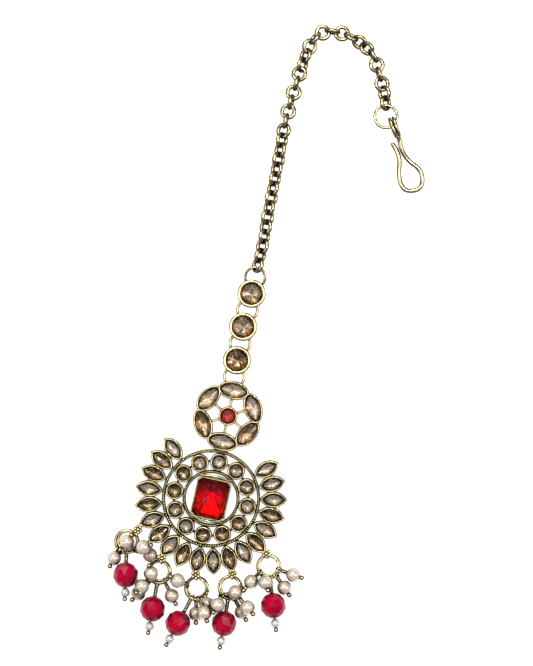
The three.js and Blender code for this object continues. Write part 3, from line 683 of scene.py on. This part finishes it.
# Foil tones of each kind of stone: the light, deep and glint tones are painted light, painted shade and
# painted glints
SMALL_FOILS = lit_and_shaded_foils("small", (0.68, 0.54, 0.35), (0.37, 0.27, 0.155), (0.26, 0.18, 0.10), (0.95, 0.97, 1.0))
OVAL_FOILS = lit_and_shaded_foils("oval", (0.84, 0.66, 0.45), (0.48, 0.335, 0.205), (0.32, 0.21, 0.12), (1.0, 0.95, 0.90))
PEACH_FOILS = lit_and_shaded_foils(
    "peach", (1.0, 0.76, 0.50), (0.46, 0.30, 0.18), (0.22, 0.125, 0.065), (1.0, 0.84, 0.62),
    (0.24, 0.24, 0.24, 0.35),
)
RUBY_FOILS = lit_and_shaded_foils(
    "ruby", (0.95, 0.0, 0.0), (0.72, 0.0, 0.01), (0.56, 0.0, 0.08), (1.0, 0.5, 0.62), (0.18, 0.2, 0.24, 0.12),
)
DEEP_RUBY_FOILS = lit_and_shaded_foils(
    "deep_ruby", (0.70, 0.0, 0.01), (0.42, 0.0, 0.006), (0.2, 0.0, 0.005), (0.9, 0.02, 0.04),
    (0.2, 0.2, 0.2, 0.1),
)
# The bead's second tone is painted shade
BEAD_RED = bead_glass("red_glass", (0.54, 0.0, 0.034), (0.12, 0.0, 0.01))
# A pearl's light tone is where it faces up in the open; its other two tones are painted shade
PEARL = pearl_lustre("pearl", (0.84, 0.71, 0.55), (0.36, 0.245, 0.145), (0.05, 0.027, 0.015))
SEED = pearl_lustre("seed_pearl", (0.70, 0.66, 0.65), (0.46, 0.39, 0.37), (0.14, 0.09, 0.07))

# Sizes that follow from the ones above
link_eye_radius = (LINK_RING_WIRE + EYE_WIRE) / 2 + EYE_CLEARANCE
link_ring_height = link_eye_radius + EYE_WIRE / 2
link_cup_bottom = link_ring_height + LINK_RING_WIRE / 2 + RUNNING_GAP
link_cup_floor = link_cup_bottom + LINK_CUP_FLOOR
link_cup_top = link_cup_floor + LINK_CUP_DEPTH
link_pitch = 2 * (LINK_EYE_OFFSET + LINK_RING_RADIUS)
drop_eye_radius = (DROP_RING_WIRE + EYE_WIRE) / 2 + EYE_CLEARANCE
drop_ring_height = drop_eye_radius + EYE_WIRE / 2
red_eye_radius = drop_eye_radius + CLEARANCE
chain_pitch = 2 * CHAIN_LINK_RADIUS - CHAIN_WIRE + CHAIN_BITE
petal_pitch = (180 + 2 * PETAL_FIRST) / (PETAL_COUNT - 1)
petal_orbit = OUTER_RING_RADIUS - 2 * BITE + PETAL_LENGTH / 2
round_orbit = (OUTER_RING_RADIUS - RING_STRIP + INNER_RING_RADIUS) / 2
round_radius = (OUTER_RING_RADIUS - RING_STRIP - INNER_RING_RADIUS) / 2 + BITE
flower = Vector((FLOWER_X, OUTER_RING_RADIUS - 2 * BITE + OVAL_WIDTH / 2 + OVAL_ORBIT))
flower_eye = Vector((FLOWER_X - LINK_RING_WIRE / 2, flower.y + OVAL_ORBIT + FLOWER_EYE_OFFSET))
link_centres = [
    Vector((x, flower_eye.y + 2 * LINK_RING_RADIUS + LINK_EYE_OFFSET + i * link_pitch))
    for i, x in enumerate(LINK_SWAY)
]
chance = random.Random(12)


def petal_direction(index):
    return PETAL_FIRST - index * petal_pitch


def wall_section(rim, bottom, top, foot, profile):
    """A cast wall with a rounded rim, as (inset, height), from its outer foot round to its inner foot."""
    over = [(share * rim, top - drop) for share, drop in profile]
    return [(foot, bottom), (0.0, bottom + FOOT_HEIGHT), *over, (over[-1][0], bottom)]


def cup(form, outline, place):
    base = inset(outline, BASE_INSET)
    form.add(bezel(outline, wall_section(RIM, 0.0, BEZEL_TOP, CUP_FOOT, CUP_RIM)), place)
    form.add(layers([(base, 0.0), (base, BACK_PLATE)]), place, smooth=False)


def milgrain(form, path):
    """A row of grains along a path."""
    grain = ball(MILGRAIN_RADIUS, 8, 6)
    for point in path:
        form.add(grain, Matrix.Translation(point))


def strip_ring(form, outer):
    """A dark strip between two fine edges, with a row of bright grains along it."""
    edge = [(depth, STRIP_HEIGHT - drop) for depth, drop in STRIP_EDGE]
    far_edge = [(RING_STRIP - depth, height) for depth, height in reversed(edge)]
    section = [*edge, (RING_STRIP / 2, STRIP_HEIGHT - STRIP_SINK), *far_edge]
    form.add(bezel(circle(outer, 120), section), slot=1)
    radius = outer - RING_STRIP / 2
    count = round(math.tau * radius / MILGRAIN_PITCH)
    milgrain(form, lifted(circle(radius, count), STRIP_HEIGHT + MILGRAIN_RISE))


def wire_eye(form, radius, wire, place, turn):
    upright = Matrix.Rotation(math.pi / 2, 4, "X")
    form.add(wire_ring(radius, wire, 24, 10), at(*place, radius + wire / 2, turn) @ upright)


def bar(form, start, end, width, bottom, top, slot=0):
    along = end - start
    half = width / 2
    outline = [Vector(p) for p in [(0, -half), (along.length, -half), (along.length, half), (0, half)]]
    turn = math.degrees(math.atan2(along.y, along.x))
    rows = [(outline, bottom), (outline, top - EDGE), (inset(outline, 0.12), top)]
    form.add(layers(rows), at(*start, 0, turn), smooth=False, slot=slot)


def medallion_metal():
    """The soldered frame: rings, cups, solder, the octagon's setting, the flower and the lugs."""
    form = Form()
    strip_ring(form, OUTER_RING_RADIUS)
    strip_ring(form, INNER_RING_RADIUS)
    step = 360 / ROUND_COUNT
    for i in range(ROUND_COUNT):
        turn = 90 + i * step
        cup(form, circle(round_radius, 36), at(*heading(turn, round_orbit)))
        middle = heading(turn + step / 2, round_orbit)
        along = heading(turn + step / 2 - 90, SOLDER_LENGTH / 2)
        bar(form, middle - along, middle + along, SOLDER_WIDTH, SOLDER_BOTTOM, STRIP_HEIGHT, slot=1)
    for i in range(PETAL_COUNT):
        turn = petal_direction(i)
        cup(form, lens(PETAL_LENGTH / 2, PETAL_WIDTH / 2), at(*heading(turn, petal_orbit), 0, turn))
    octagon_setting(form)
    for i in range(OVAL_COUNT):
        turn = 90 + 360 * i / OVAL_COUNT
        cup(form, oval(OVAL_LENGTH / 2, OVAL_WIDTH / 2, 44, OVAL_POINT), oval_place(i, 0))
        start = flower + heading(turn, FLOWER_CUP_RADIUS - 3 * BITE)
        end = flower + heading(turn, OVAL_ORBIT - OVAL_WIDTH / 2 + 3 * BITE)
        bar(form, start, end, SPOKE_WIDTH, 0.0, STRIP_HEIGHT, slot=1)
    cup(form, circle(FLOWER_CUP_RADIUS, 36), at(*flower))
    wire_eye(form, link_eye_radius, EYE_WIRE, flower_eye, 90)
    for drop in DROPS:
        eyelet(form, drop)
    return form


def octagon_setting(form):
    """An upright wall with grains down its long sides, on a plate, held by a bowed bar above and below."""
    half_width = OCTAGON_WIDTH / 2 + CLEARANCE
    half_length = OCTAGON_LENGTH / 2 + CLEARANCE
    outline = cut_corners(half_width + OCTAGON_WALL, half_length + OCTAGON_WALL, OCTAGON_CORNER)
    top = OCTAGON_RIM
    outer, inner = OCTAGON_BEVELS
    section = [
        (0, 0), (0, top - EDGE), (outer, top), (OCTAGON_WALL - inner, top), (OCTAGON_WALL, top - EDGE),
        (OCTAGON_WALL, 0),
    ]
    base = inset(outline, OCTAGON_BASE_INSET)
    form.add(bezel(outline, section), smooth=False, slot=1)
    form.add(layers([(base, 0.0), (base, OCTAGON_FLOOR)]), smooth=False, slot=1)
    for side in (-1, 1):
        x = side * (half_width + OCTAGON_WALL / 2)
        reach = half_length + OCTAGON_WALL - OCTAGON_CORNER
        count = round(2 * reach / MILGRAIN_PITCH)
        milgrain(form, [Vector((x, -reach + 2 * reach * k / count, top)) for k in range(count + 1)])
        line = half_length + OCTAGON_BAR / 2
        end = math.sqrt((INNER_RING_RADIUS - RING_STRIP / 2) ** 2 - line ** 2)
        low, high = [STRIP_HEIGHT + rise for rise in OCTAGON_BAR_RISE]
        bow = [(-end, side * line, low), (0, side * (line + OCTAGON_BOW), high), (end, side * line, low)]
        form.add(tube(smooth_path(bow), OCTAGON_BAR / 2, 12, squash=1.1))


def eyelet(form, drop):
    """A lug under a rosette of granules, from a petal's tip to the eye that holds the drop ring."""
    tip = heading(petal_direction(drop.petal), petal_orbit + PETAL_LENGTH / 2 - LUG_WIDTH / 2)
    eye = eye_place(drop)
    bottom = drop_ring_height + drop_eye_radius - EYE_WIRE / 2
    bar(form, tip, eye, LUG_WIDTH, bottom, BEZEL_TOP - LUG_SINK)
    wire_eye(form, drop_eye_radius, EYE_WIRE, eye, drop.hang)
    middle = tip.lerp(eye, 0.5)
    granule = ball(GRANULE_RADIUS, 14, 10)
    inner, outer = [BEZEL_TOP - sink for sink in GRANULE_SINKS]
    form.add(granule, at(*middle, inner))
    for k in range(6):
        place = middle + heading(drop.hang + 60 * k, GRANULE_ORBIT)
        form.add(granule, at(*place, outer))


def eye_place(drop):
    return heading(drop.bearing, petal_orbit + PETAL_LENGTH / 2 + drop.past * DROP_RING_RADIUS)


# Stones

def tier(count, pattern):
    """Foil slots for a tier of facets, which paint light, shade and glints: each facet pair takes its turn of
    the pattern, and a few stray.
    """
    slots = []
    for k in range(count):
        first, second = pattern[k % len(pattern)]
        if chance.random() < STRAY_FACETS:
            first, second = second, chance.choice((1, 2, 4))
        slots += [first, second]
    return slots


def gem(form, outline, place, cut):
    """A cut stone round its girdle, with glass above and foiled facets behind, whose foil slots paint its
    light, shade and glints.
    """
    if cut.lean:
        place = tilted(place, cut.lean)
    off = Vector(cut.off)

    def level(share, height, shifted=False, shift=0.0):
        return lifted([share * p + shift * off for p in rolled(outline, cut.sides, shifted)], height)

    share, rise = CROWN_BREAK
    crown = [level(1.0, 0), level(share, rise * cut.crown, True), level(cut.table, cut.crown)]
    form.add(facets(crown, close_bottom=False), place, False, 0)
    point = level(BACK_POINT, -cut.depth, shift=1.0)
    star = level(cut.star, -cut.belly * cut.depth, True, STAR_SHIFT)
    slots = tier(cut.sides, cut.fan) + tier(cut.sides, OUTER_FAN) + [1]
    form.add(facets([point, star, level(1.0, 0)], close_top=False), place, False, slots)


def rolled(outline, steps, shifted):
    """As many points of the outline as a cut stone has sides, half a step on if shifted."""
    count = len(outline)
    picked = []
    for k in range(steps):
        exact = (k + 0.5 * shifted) * count / steps
        low = int(exact) % count
        picked.append(outline[low].lerp(outline[(low + 1) % count], exact - int(exact)))
    return picked


def tilted(place, lean):
    """The place with a small tilt, so that no two stones shine alike."""
    nod = Matrix.Rotation(math.radians(chance.uniform(-lean, lean)), 4, "X")
    sway = Matrix.Rotation(math.radians(chance.uniform(-lean, lean)), 4, "Y")
    return place @ nod @ sway


def frame_stones():
    """The small stones that are fused with the frame: a ring of rounds and a fan of petals."""
    form = Form()
    height = BEZEL_TOP - SEAT_DEPTH
    outline = circle(round_radius - RIM - STONE_GAP, 48)
    for i in range(ROUND_COUNT):
        spot = heading(90 + 360 * i / ROUND_COUNT, round_orbit)
        gem(form, outline, at(*spot, height, chance.uniform(0, 360)), ROUND_CUT)
    outline = inset(lens(PETAL_LENGTH / 2, PETAL_WIDTH / 2, 96), RIM + STONE_GAP)
    for i in range(PETAL_COUNT):
        turn = petal_direction(i)
        gem(form, outline, at(*heading(turn, petal_orbit), height, turn), PETAL_CUT)
    return form


def oval_place(index, height):
    turn = 360 * index / OVAL_COUNT
    return at(*(flower + heading(90 + turn, OVAL_ORBIT)), height, turn)


def single_gem(outline, place, cut):
    form = Form()
    gem(form, outline, place, cut)
    return form


def oval_gem(index):
    outline = inset(oval(OVAL_LENGTH / 2, OVAL_WIDTH / 2, 96, OVAL_POINT), RIM + STONE_GAP)
    return single_gem(outline, oval_place(index, BEZEL_TOP - SEAT_DEPTH), OVAL_CUT)


def flower_gem():
    outline = circle(FLOWER_CUP_RADIUS - RIM - STONE_GAP, 48)
    return single_gem(outline, at(*flower, BEZEL_TOP - SEAT_DEPTH), FLOWER_CUT)


def link_gem(centre):
    outline = circle(LINK_CUP_RADIUS - LINK_LIP - STONE_GAP, 64)
    turn = chance.uniform(-LINK_STONE_TURN, LINK_STONE_TURN)
    return single_gem(outline, at(*centre, link_cup_top - LINK_SEAT_DEPTH, turn), LINK_CUT)


def octagon_gem():
    """A step-cut stone with a fan of long facets behind; painted shade makes the foil deepest at its sides,
    with painted light at its lower end and painted glints.
    """
    form = Form()
    half_width = OCTAGON_WIDTH / 2
    half_length = OCTAGON_LENGTH / 2
    girdle = cut_corners(half_width, half_length, OCTAGON_CORNER)
    rows = [(girdle, OCTAGON_RIM - OCTAGON_GIRDLE)]
    for share, rise, corner in OCTAGON_STEPS:
        step_in = (1 - share) * half_width
        outline = cut_corners(half_width - step_in, half_length - step_in, corner * OCTAGON_CORNER)
        rows.append((outline, OCTAGON_RIM + rise * OCTAGON_CROWN))
    points, faces = layers(rows)
    form.add((points, faces[1:]), None, False, 0)
    edge = spread(girdle, 96)
    keel = Vector(OCTAGON_KEEL)
    tiers = []
    for k, (share, height) in enumerate(OCTAGON_BACK):
        ring = rolled(edge, OCTAGON_FACETS, k % 2)
        tiers.append(lifted([keel + share * (p - keel) for p in ring], height))
    points, faces = facets(tiers, close_top=False)
    slots = [octagon_slot(sum((points[k] for k in face), Vector()) / len(face), keel) for face in faces]
    form.add((points, faces), None, False, slots)
    return form


def octagon_slot(middle, keel):
    """The foil slot of a facet behind the octagon, from its direction: painted light, painted shade or a
    painted glint.
    """
    turn = abs(math.degrees(math.atan2(middle.x - keel.x, keel.y - middle.y)))
    if turn > UPPER_FROM:
        return chance.choice(OCTAGON_FOILS["upper"])
    if turn > chance.uniform(*SIDES_FROM):
        return chance.choice(OCTAGON_FOILS["side"])
    # painted glints on the lower left too
    glint = 4 if turn > GLINT_FROM and middle.x < keel.x else 1
    return chance.choice((*OCTAGON_FOILS["lower"], glint))


def spread(outline, count):
    """The outline with its points an even distance apart."""
    closed = [*outline, outline[0]]
    lengths = [(b - a).length for a, b in zip(closed, closed[1:])]
    step = sum(lengths) / count
    points = []
    side = 0
    along = 0.0
    for _ in range(count):
        while along > lengths[side]:
            along -= lengths[side]
            side += 1
        points.append(closed[side].lerp(closed[side + 1], along / lengths[side]))
        along += step
    return points


# Links, rings and chain

def link_metal(centre):
    """A round cup with a broad rolled rim, on a closed base with an eye under each end."""
    form = Form()
    place = at(*centre)
    section = wall_section(LINK_LIP, link_cup_bottom, link_cup_top, LINK_FOOT, LINK_RIM)
    form.add(bezel(circle(LINK_CUP_RADIUS, 56), section), place)
    base = circle(LINK_CUP_RADIUS - BASE_INSET, 56)
    form.add(layers([(base, link_cup_bottom), (base, link_cup_floor)]), place, smooth=False)
    for side in (-1, 1):
        wire_eye(form, link_eye_radius, EYE_WIRE, centre + Vector((0, side * LINK_EYE_OFFSET)), 90)
    return form


def link_rings():
    """Places of the rings from the flower up to the chain; the last one leans up to the first chain link."""
    places = []
    below = [flower_eye, *link_centres]
    for lower, upper in zip(below, link_centres):
        y = upper.y - LINK_EYE_OFFSET - LINK_RING_RADIUS
        places.append(at((lower.x + upper.x) / 2, y, link_ring_height))
    lean = math.asin((chain_height(chain_tilt(1)) - link_ring_height) / (2 * LINK_RING_RADIUS))
    last = link_centres[-1]
    y = last.y + LINK_EYE_OFFSET + LINK_RING_RADIUS * math.cos(lean)
    z = link_ring_height + LINK_RING_RADIUS * math.sin(lean)
    places.append(at(last.x, y, z) @ Matrix.Rotation(lean, 4, "X"))
    return places


def open_ring(radius, wire, joint_turn):
    """A jump ring: a wire bent round until its two ends meet at a fine joint."""
    half_joint = math.degrees(RING_JOINT / 2 / radius)
    path = []
    for k in range(65):
        turn = joint_turn + half_joint + (360 - 2 * half_joint) * k / 64
        path.append(Vector((*heading(turn, radius), 0)))
    return tube(path, wire / 2, 12)


def chain_tilt(link):
    after = next(k for k, (number, _) in enumerate(CHAIN_TWIST) if number >= link)
    (low, start), (high, end) = CHAIN_TWIST[max(after - 1, 0)], CHAIN_TWIST[max(after, 1)]
    return start + (end - start) * (link - low) / (high - low) + (0 if link % 2 else 90)


def chain_height(tilt):
    """Height of a link's centre when the link touches the table."""
    lean = math.radians(tilt)
    reach = (CHAIN_LINK_RADIUS + LINK_SWELL) * max(abs(math.sin(lean)), abs(math.cos(lean)))
    return reach + (CHAIN_WIRE + WIRE_SWELL) / 2


def chain_links():
    """Each link's centre, the direction of the chain there, and the link's tilt."""
    last = link_centres[-1]
    reach = CHAIN_LINK_RADIUS - (CHAIN_WIRE + LINK_RING_WIRE) / 2 - RUNNING_GAP
    start = Vector((last.x, last.y + LINK_EYE_OFFSET + 2 * LINK_RING_RADIUS + reach, 0))
    route = smooth_path([start + chain_pitch * Vector((x, y, 0)) for x, y in CHAIN_ROUTE], samples=60)
    route.append(route[-1] + (route[-1] - route[-2]).normalized() * CHAIN_COUNT * chain_pitch)
    links = []
    travelled = 0.0
    for here, ahead in zip(route, route[1:]):
        step = (ahead - here).length
        along = (ahead - here).normalized()
        while len(links) < CHAIN_COUNT and len(links) * chain_pitch <= travelled + step:
            centre = here + along * (len(links) * chain_pitch - travelled)
            tilt = chain_tilt(len(links) + 1) + chance.uniform(-LINK_PLAY, LINK_PLAY)
            centre.z = chain_height(tilt)
            links.append((centre, along, tilt))
        travelled += step
    return links


def hair_chain(links):
    form = Form()
    link = wire_ring(CHAIN_LINK_RADIUS + LINK_SWELL, CHAIN_WIRE + WIRE_SWELL, 28, 12)
    for centre, along, tilt in links:
        lean = math.radians(tilt)
        face = Vector((0, 0, 1)) * math.cos(lean) + level_side(along) * math.sin(lean)
        form.add(link, turned(centre, along, face))
    return form


def end_ring_centre(links):
    centre, along, _ = links[-1]
    reach = END_RING_RADIUS + CHAIN_LINK_RADIUS - (END_RING_WIRE + CHAIN_WIRE) / 2 - RUNNING_GAP
    return centre + along * reach


def hair_hook(ring):
    """Two turns of wire side by side make the eye; the wire then runs on into the hook, to a rounded tip."""
    form = Form()
    place = at(ring.x + HOOK_PLACE[0], ring.y + HOOK_PLACE[1], 0, HOOK_DIRECTION)
    half_height = HOOK_EYE_HEIGHT / 2
    loop = oval((HOOK_EYE_LENGTH - HOOK_EYE_WIRE) / 2, half_height - HOOK_EYE_WIRE / 2, 40)
    for side in (-1, 1):
        turn = [Vector((p.x, side * HOOK_EYE_SPREAD, half_height + p.y)) for p in loop]
        form.add(tube(turn, HOOK_EYE_WIRE / 2, 12, closed=True), place)
    radius = HOOK_WIRE / 2 + HOOK_SWELL
    route = []
    for i, (along, across) in enumerate(HOOK_ROUTE):
        sunk = min(i / HOOK_SINK_POINTS, 1)
        height = half_height + (radius - half_height) * sunk * (2 - sunk)
        route.append((along * HOOK_REACH, across * HOOK_REACH, height))
    path = smooth_path(route, samples=10)
    form.add(tube(path, radius, 16), place)
    form.add(ball(radius, 16, 10), place @ Matrix.Translation(path[-1]))
    return form


# Drops

def ring_seat(degrees):
    return Vector((*heading(degrees, DROP_RING_RADIUS), drop_ring_height))


def ring_place(drop):
    return at(*(eye_place(drop) + heading(drop.hang, DROP_RING_RADIUS)))


def pin_loop(form, place, seat, along, radius):
    """The loop of a pin round the ring's wire. It leans out of the plane of the pin and the upright."""
    lean = math.radians(chance.choice((-1, 1)) * chance.uniform(*LOOP_LEAN))
    stand = turned(seat, along, level_side(along)) @ Matrix.Rotation(lean, 4, "X")
    form.add(wire_ring(radius, PIN_WIRE, 28, 10), place @ stand)


def pin_head(form, place, end, along):
    """The round head of a pin, against the far end of its bead."""
    middle = end + along * (PIN_HEAD_RADIUS - 2 * BITE)
    form.add(ball(PIN_HEAD_RADIUS, 20, 14), place @ Matrix.Translation(middle))


def wrapped_neck(form, place, start, end, pitch):
    """Wire wound closely round a pin between its loop and its bead."""
    along = end - start
    if along.length < SHORTEST_NECK:
        return
    steps = NECK_STEPS * max(round(along.length / pitch), 1)
    path = []
    for k in range(steps + 1):
        turn = heading(360 * k / NECK_STEPS, NECK_TURN)
        path.append(Vector((turn.x, turn.y, along.length * k / steps)))
    form.add(tube(path, NECK_WIRE / 2, 8), place @ facing(start, along))
    form.add(tube([start, end], PIN_WIRE / 2, 8), place)


def pearl(form, place, bead):
    """A pearl on its pin, from the loop on the ring to the head."""
    spot = DROP_RING_RADIUS * Vector((bead.x, bead.y))
    centre = Vector((*spot, (1 + bead.rise) * PEARL_RADIUS))
    seat = ring_seat(bead.seat)
    along = (centre - seat).normalized()
    bore = Vector((along.x, along.y, min(along.z, HIGHEST_BORE))).normalized()
    form.add(ball(PEARL_RADIUS, 36, 24), place @ facing(centre, bore), slot=1)
    for size in LOOP_SIZES:
        pin_loop(form, place, seat + Vector((0, 0, LOOP_RISE)), along, size * PIN_LOOP_RADIUS)
    end = centre - bore * (PEARL_RADIUS - BITE / 2)
    wrapped_neck(form, place, seat + along * PIN_LOOP_RADIUS, end, NECK_PITCH)
    pin_head(form, place, centre + bore * PEARL_RADIUS, bore)


def pearl_cluster(drop):
    """A drop ring of two turns, with its four pearls."""
    form = Form()
    place = ring_place(drop)
    first, second = [drop.hang + joint for joint in TURN_JOINTS]
    ring = open_ring(DROP_RING_RADIUS, DROP_RING_WIRE + RING_SWELL, first)
    form.add(ring, place @ at(0, 0, drop_ring_height))
    back, rise = INNER_TURN_PLACE
    middle = heading(drop.hang + 180, back)
    inner = open_ring(INNER_TURN * DROP_RING_RADIUS, INNER_TURN_WIRE, second)
    stand = tilted(at(*middle, drop_ring_height + rise), INNER_TURN_LEAN)
    form.add(inner, place @ stand)
    for bead in drop.pearls:
        pearl(form, place, bead)
    return form


def red_line(drop):
    """The seat of a red bead's pin on the ring, the bead's centre, and the direction of its pin."""
    x, y = drop.red
    seat = ring_seat(math.degrees(math.atan2(y, x)))
    seat.z = red_eye_radius + PIN_WIRE / 2
    centre = Vector((x * DROP_RING_RADIUS, y * DROP_RING_RADIUS, RED_BEAD_RADIUS))
    return seat, centre, (centre - seat).normalized()


def red_bead(drop):
    form = Form()
    seat, centre, along = red_line(drop)
    rings = []
    for k, latitude in enumerate(RED_BEAD_LATITUDES):
        level = heading(latitude, RED_BEAD_RADIUS)
        rings.append(lifted(circle(level.x, RED_BEAD_SIDES, 0.5 * (k % 2)), level.y))
    turn = Matrix.Rotation(chance.uniform(0, ANY_TURN), 4, "Z")
    form.add(facets(rings), ring_place(drop) @ facing(centre, along) @ turn, smooth=False)
    return form


def red_pin(drop):
    """The pin of a red bead: its loop and neck before the bead, a seed pearl and the head past it."""
    form = Form()
    place = ring_place(drop)
    seat, centre, along = red_line(drop)
    pin_loop(form, place, seat, along, red_eye_radius)
    end = centre - along * RED_BEAD_RADIUS
    wrapped_neck(form, place, seat + along * red_eye_radius, end, RED_NECK_PITCH)
    seed = centre + along * (RED_BEAD_RADIUS + CLEARANCE + SEED_RADIUS)
    form.add(ball(SEED_RADIUS, 28, 18), place @ facing(seed, along), slot=1)
    pin_head(form, place, seed + along * SEED_RADIUS, along)
    form.add(tube([centre + along * (RED_BEAD_RADIUS - 3 * BITE), seed], PIN_WIRE / 2, 8), place)
    return form


# The jewel

piece("frame_metal", medallion_metal(), [GOLD, OXIDE], ["medallion_frame"])
piece("frame_stones", frame_stones(), [CHAMPAGNE, *SMALL_FOILS], ["medallion_frame"])
piece("octagon_gem", octagon_gem(), [RUBY, *RUBY_FOILS], ["octagon_stone"])
piece("flower_gem", flower_gem(), [DEEP_RUBY, *DEEP_RUBY_FOILS], ["flower_stone"])
for i in range(OVAL_COUNT):
    replaced = [f"oval_stone_{i + 1}"]
    piece(f"oval_gem_{i + 1}", oval_gem(i), [CHAMPAGNE, *OVAL_FOILS], replaced)
for i, centre in enumerate(link_centres):
    piece(f"link_metal_{i + 1}", link_metal(centre), [GOLD], [f"link_bezel_{i + 1}"])
    replaced = [f"link_stone_{i + 1}"]
    piece(f"link_gem_{i + 1}", link_gem(centre), [PEACH, *PEACH_FOILS], replaced)
for i, place in enumerate(link_rings()):
    ring = Form().add(open_ring(LINK_RING_RADIUS, LINK_RING_WIRE, LINK_RING_JOINT), place)
    piece(f"jump_ring_{i + 1}", ring, [CHAIN_GOLD], [f"link_ring_{i + 1}"])
links = chain_links()
piece("chain_links", hair_chain(links), [CHAIN_GOLD], ["hair_chain"])
end_centre = end_ring_centre(links)
end_wire = open_ring(END_RING_RADIUS, END_RING_WIRE + RING_SWELL, END_RING_JOINT)
end_ring = Form().add(end_wire, Matrix.Translation(end_centre))
piece("end_jump_ring", end_ring, [CHAIN_GOLD], ["end_ring"])
piece("hook_wire", hair_hook(end_centre), [PALE_GOLD], ["hair_hook"])
for i, drop in enumerate(DROPS):
    piece(f"pearls_{i + 1}", pearl_cluster(drop), [CHAIN_GOLD, PEARL], [f"pearl_cluster_{i + 1}"])
    piece(f"red_glass_{i + 1}", red_bead(drop), [BEAD_RED], [f"red_bead_{i + 1}"])
    piece(f"head_pin_{i + 1}", red_pin(drop), [CHAIN_GOLD, SEED], [f"red_pin_{i + 1}"])


# Floor, light and camera

def floor():
    mesh = bpy.data.meshes.new("floor")
    half = FLOOR_HALF * METRE
    drop = -FLOOR_DROP * METRE
    corners = lifted([Vector(p) for p in ((-half, -half), (half, -half), (half, half), (-half, half))], drop)
    mesh.from_pydata(corners, [], [(0, 1, 2, 3)])
    material, tree, shader = new_material("floor_white", {
        "Roughness": 0.8, "Emission Color": (1, 1, 1, 1), "Emission Strength": FLOOR_GLOW,
    })
    tone = ramp(tree, noise(tree, 60), [(0.3, 0.90), (0.7, 0.93)])
    tree.links.new(tone, shader.inputs["Base Color"])
    mesh.materials.append(material)
    new_object("floor", mesh)


def area_light(name, place, aim, size, power):
    light = bpy.data.lights.new(name, "AREA")
    light.shape = "RECTANGLE"
    light.size, light.size_y = size
    light.energy = power
    obj = new_object(name, light)
    obj.location = place
    obj.rotation_euler = (Vector(aim) - Vector(place)).to_track_quat("-Z", "Y").to_euler()


def sky(strength):
    world = bpy.data.worlds.new("studio")
    bpy.context.scene.world = world
    world.use_nodes = True
    background = world.node_tree.nodes["Background"]
    background.inputs["Color"].default_value = (1, 1, 1, 1)
    background.inputs["Strength"].default_value = strength


def camera():
    data = bpy.data.cameras.new("camera")
    obj = new_object("camera", data)
    obj.location = METRE * Vector((*VIEW_CENTRE, CAMERA_HEIGHT))
    obj.rotation_euler = (0, 0, math.radians(PHOTO_ROLL))
    data.sensor_fit = "VERTICAL"
    data.sensor_height = SENSOR_HEIGHT
    data.lens = SENSOR_HEIGHT * CAMERA_HEIGHT / VIEW_HEIGHT
    data.clip_start = 0.01
    bpy.context.scene.camera = obj


floor()
for light in LIGHTS:
    area_light(*light)
sky(SKY)
camera()
bpy.context.scene.view_settings.view_transform = "Standard"
bpy.context.scene.view_settings.look = "None"
